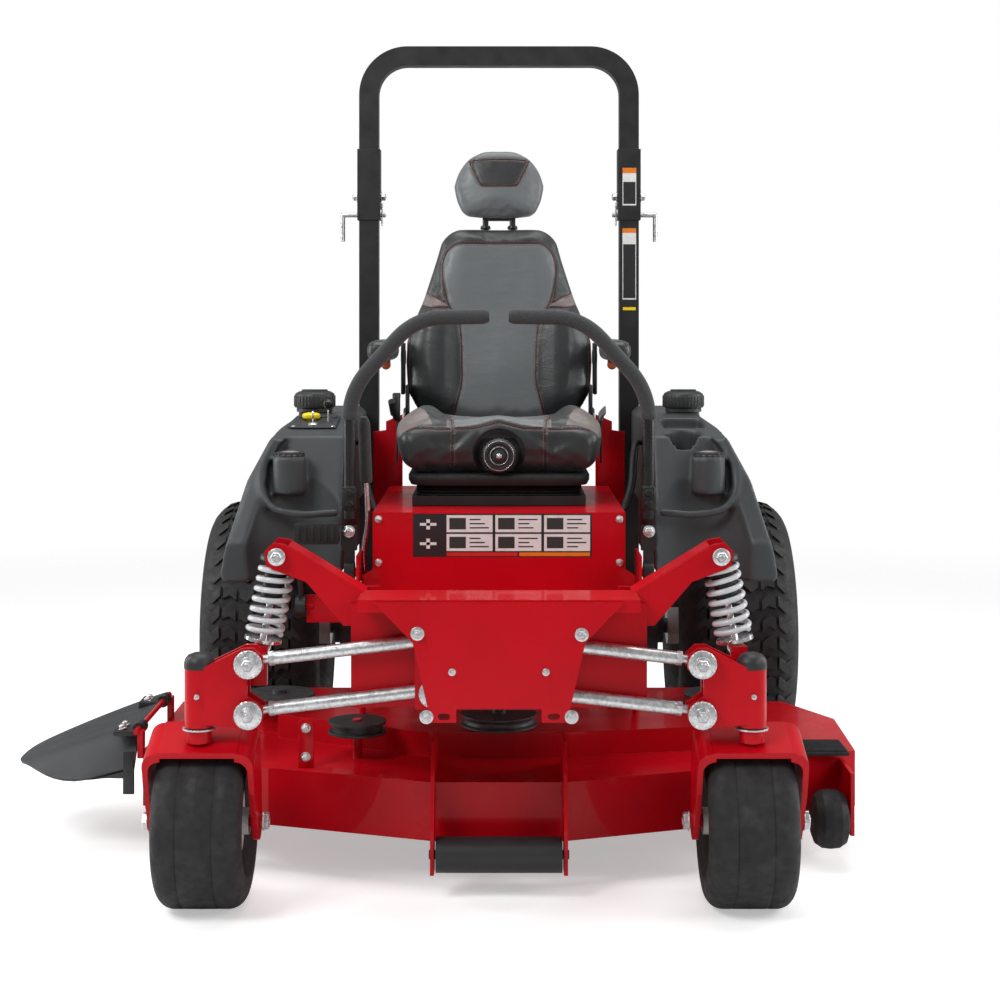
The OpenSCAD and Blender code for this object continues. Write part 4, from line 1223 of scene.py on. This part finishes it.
# Red shields between the seat and the tanks
SHIELD = [(244, 470), (318, 470), (318, 862), (286, 866), (286, 888), (244, 906)]
for label, s in SIDES:
    bm = bmesh.new()
    plate(bm, [(s * x, 400, z) for x, z in SHIELD], (0, 6, 0), 1)
    piece(label + "_seat_shield", bm, RED, "frame")

# Ribs on the lift pedal
bm = bmesh.new()
for k in range(6):
    block(bm, (-428 + 14.5 * k, -361, 676), (-421 + 14.5 * k, -356, 708), 1.2)
block(bm, (-434, -359, 670), (-340, -355, 714), 1.5)
piece("pedal_tread", bm, RUBBER, "lift_pedal")

# Hoses and a cable beside the seat
for label, s in SIDES:
    bm = bmesh.new()
    for dx, dy, r in ((0, 0, 6.0), (10, 26, 4.5), (4, 60, 3.2)):
        path = [(s * (276 + dx), -150 + dy, 722), (s * (296 + dx), -118 + dy, 770), (s * (304 + dx), -60 + dy, 842),
                (s * (316 + dx), 0 + dy, 868), (s * 352, 40 + dy, 850)]
        tube(bm, rounded(path, 50, 8), r, 12)
    piece(label + "_hoses", bm, RUBBER, "frame")

# Cooling screen and bands on the engine shroud
bm = bmesh.new()
for r in range(18, 118, 11):
    lathe(bm, (0, 800, 762), (0, 0, 1), [(r, 0), (r + 3, 0), (r + 3, 5), (r, 5)], 56, closed=True)
for k in range(12):
    a = k * math.tau / 12
    rod(bm, (14 * math.cos(a), 800 + 14 * math.sin(a), 765), (116 * math.cos(a), 800 + 116 * math.sin(a), 765), 2)
for z, r in ((648, 216.5), (690, 216.5)):
    lathe(bm, (0, 800, z), (0, 0, 1), [(r - 4, 0), (r, 1), (r, 7), (r - 4, 8)], 72, closed=True)
piece("engine_screen", bm, STEEL_BLACK, "frame")
bm = bmesh.new()
for s in (-1, 1):
    for x, z in ((90, 545), (205, 545)):
        lathe(bm, (s * x, 1050, z), (s, 0, 0), [(61, 0), (64, 1), (64, 9), (61, 10)], 56, closed=True)
    rod(bm, (s * 165, 905, 500), (s * 165, 905, 580), 34, 5, 40)
piece("exhaust_and_filters", bm, MOTOR, "frame")

# ---------------------------------------------------------------- discharge chute
def chute_point(u, v):
    """u runs outward from the hinge, v forward from the back edge."""
    y = 108 - 437 * v
    swell = max(0.0, 1 - abs((y + 108) / 221) ** 2.6)
    x = -784 - u * (12 + 272 * swell ** 0.55)
    lip = step_up(-y, 205, 330) ** 1.4
    z = 266 + (x + 778) * 0.30 - 96 * lip * (1 - 0.35 * u) - 10 * u ** 4
    return (x, y, z)


bm = bmesh.new()
across, along = 30, 44
grid = [[bm.verts.new(at(*chute_point(i / across, j / along))) for j in range(along + 1)] for i in range(across + 1)]
for i in range(across):
    for j in range(along):
        bm.faces.new((grid[i][j], grid[i + 1][j], grid[i + 1][j + 1], grid[i][j + 1]))
bmesh.ops.recalc_face_normals(bm, faces=bm.faces)
bmesh.ops.solidify(bm, geom=list(bm.faces), thickness=0.006)
flap = piece("chute_flap", bm, PANEL, "chute_deflector", 50)
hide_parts("chute_deflector")
bm = bmesh.new()
block(bm, (-802, -333, 134), (-778, -326, 226), 2)
block(bm, (-830, -300, 250), (-778, -232, 262), 2.5)
block(bm, (-830, -20, 250), (-778, 48, 266), 2.5)
for y in (-262, 20):
    rod(bm, (-778, y - 18, 262), (-778, y + 18, 262), 14)
piece("chute_hinge_straps", bm, BLACK, "chute_deflector")
fasteners("chute_bolts", "chute_deflector", [((-812, y, 263), (-0.28, 0, 0.96)) for y in (-282, -250, -2, 30)], 13, 7, 10)

# ---------------------------------------------------------------- blank safety films on the roll bar
def films(name, body, strips):
    """Blank films on the front of the left post: (half width, y, low, high, material index)."""
    bm = bmesh.new()
    for half, y, low, high, index in strips:
        before = set(bm.faces)
        block(bm, (343.4 - half, y, low), (343.4 + half, y + 0.9, high), 0)
        for face in set(bm.faces) - before:
            face.material_index = index
    piece(name, bm, (WHITE, INK_ORANGE, INK_BLACK, YELLOW), body)


films("sleeve_film", "rops_hoop", [
    (18, 589.8, 1446, 1545, 0), (18, 589.5, 1531, 1545, 1), (16, 589.5, 1450, 1508, 2)])
films("post_film", "frame", [
    (18, 594.4, 1198, 1386, 0), (18, 594.1, 1374, 1386, 1), (16, 594.1, 1202, 1344, 2),
    (17, 594.4, 1124, 1178, 2), (17, 594.1, 1170, 1178, 3)])

# ---------------------------------------------------------------- materials of the CAD nodes that stay
FINISH = {
    RED: "main_frame front_cover foot_pan right_upright left_upright right_fork left_fork deck_shell",
    BLACK: "rops_posts rops_hoop right_lever_base left_lever_base seat_base lift_pedal",
    PLASTIC: "engine_shroud idler_pulley front_roller right_damper left_damper",
    RUBBER: "deck_wheel",
    ZINC: "right_rops_pin left_rops_pin right_upper_link left_upper_link right_lower_link left_lower_link",
    CHROME: "right_damper_rod left_damper_rod",
    ENGINE: "engine_block",
    MOTOR: "wheel_motors right_spindle middle_spindle left_spindle",
    RIM: "right_caster_rim left_caster_rim right_rear_rim left_rear_rim",
}
for material, names in FINISH.items():
    for name in names.split():
        mesh = NODES[name].data
        mesh.materials.clear()
        mesh.materials.append(material)

# ---------------------------------------------------------------- camera, floor and light
scene = bpy.context.scene
scene.view_settings.view_transform = "Standard"
camera = bpy.data.objects.new("camera", bpy.data.cameras.new("camera"))
scene.collection.objects.link(camera)
camera.location = at(0, -4250, 1150)
camera.rotation_euler = (math.radians(90), 0, 0)
camera.data.lens, camera.data.sensor_width = 66.1, 36.0
camera.data.shift_x, camera.data.shift_y = 0.001, -0.1825
scene.camera = camera

# A pale round floor that fades into a white background, open on every side
bm = bmesh.new()
bmesh.ops.create_circle(bm, cap_ends=True, radius=6.0, segments=96)
bmesh.ops.translate(bm, verts=bm.verts, vec=(0, 0, -0.0005))
floor = new_object("floor", bpy.data.meshes.new("floor"))
bm.to_mesh(floor.data)
bm.free()
pale = Shader("pale_floor", Roughness=0.6)
pale.set(Base_Color=pale.mix(pale.noise(1.5), (0.86, 0.86, 0.86), (0.9, 0.9, 0.9)))
seen = pale.add("ShaderNodeLightPath").outputs["Is Camera Ray"]
pale.set(Emission_Color=(1, 1, 1, 1), Emission_Strength=pale.math("MULTIPLY", seen, 0.42))
reach = pale.add("ShaderNodeVectorMath")
reach.operation = "LENGTH"
pale.feed(reach.inputs[0], pale.place)
pale.set(Alpha=pale.ramp(reach.outputs["Value"], 5.2, 2.2))
floor.data.materials.append(pale.material)


def softbox(name, place, target, size, watts):
    """A rectangular area light aimed at a point."""
    light = bpy.data.lights.new(name, "AREA")
    light.shape, light.size, light.size_y, light.energy = "RECTANGLE", size[0], size[1], watts
    lamp = bpy.data.objects.new(name, light)
    scene.collection.objects.link(lamp)
    lamp.location = at(*place)
    lamp.rotation_euler = (at(*target) - at(*place)).to_track_quat("-Z", "Y").to_euler()


softbox("key", (-2600, -3000, 3600), (0, -200, 600), (1.6, 1.6), 105)
softbox("fill", (3400, -2600, 2400), (0, -200, 500), (2.0, 2.0), 50)
softbox("top", (0, 200, 4200), (0, 0, 600), (3.2, 2.4), 90)
softbox("left_edge", (-3000, 400, 1600), (0, 0, 700), (0.8, 2.2), 40)
softbox("right_edge", (3000, 400, 1600), (0, 0, 700), (0.8, 2.2), 40)
world = bpy.data.worlds.new("studio")
world.use_nodes = True
nodes, links = world.node_tree.nodes, world.node_tree.links
background, strength = nodes["Background"], nodes.new("ShaderNodeMapRange")
background.inputs["Color"].default_value = (1, 1, 1, 1)
strength.inputs["To Min"].default_value = 0.32
links.new(nodes.new("ShaderNodeLightPath").outputs["Is Camera Ray"], strength.inputs["Value"])
links.new(strength.outputs[0], background.inputs["Strength"])
scene.world = world
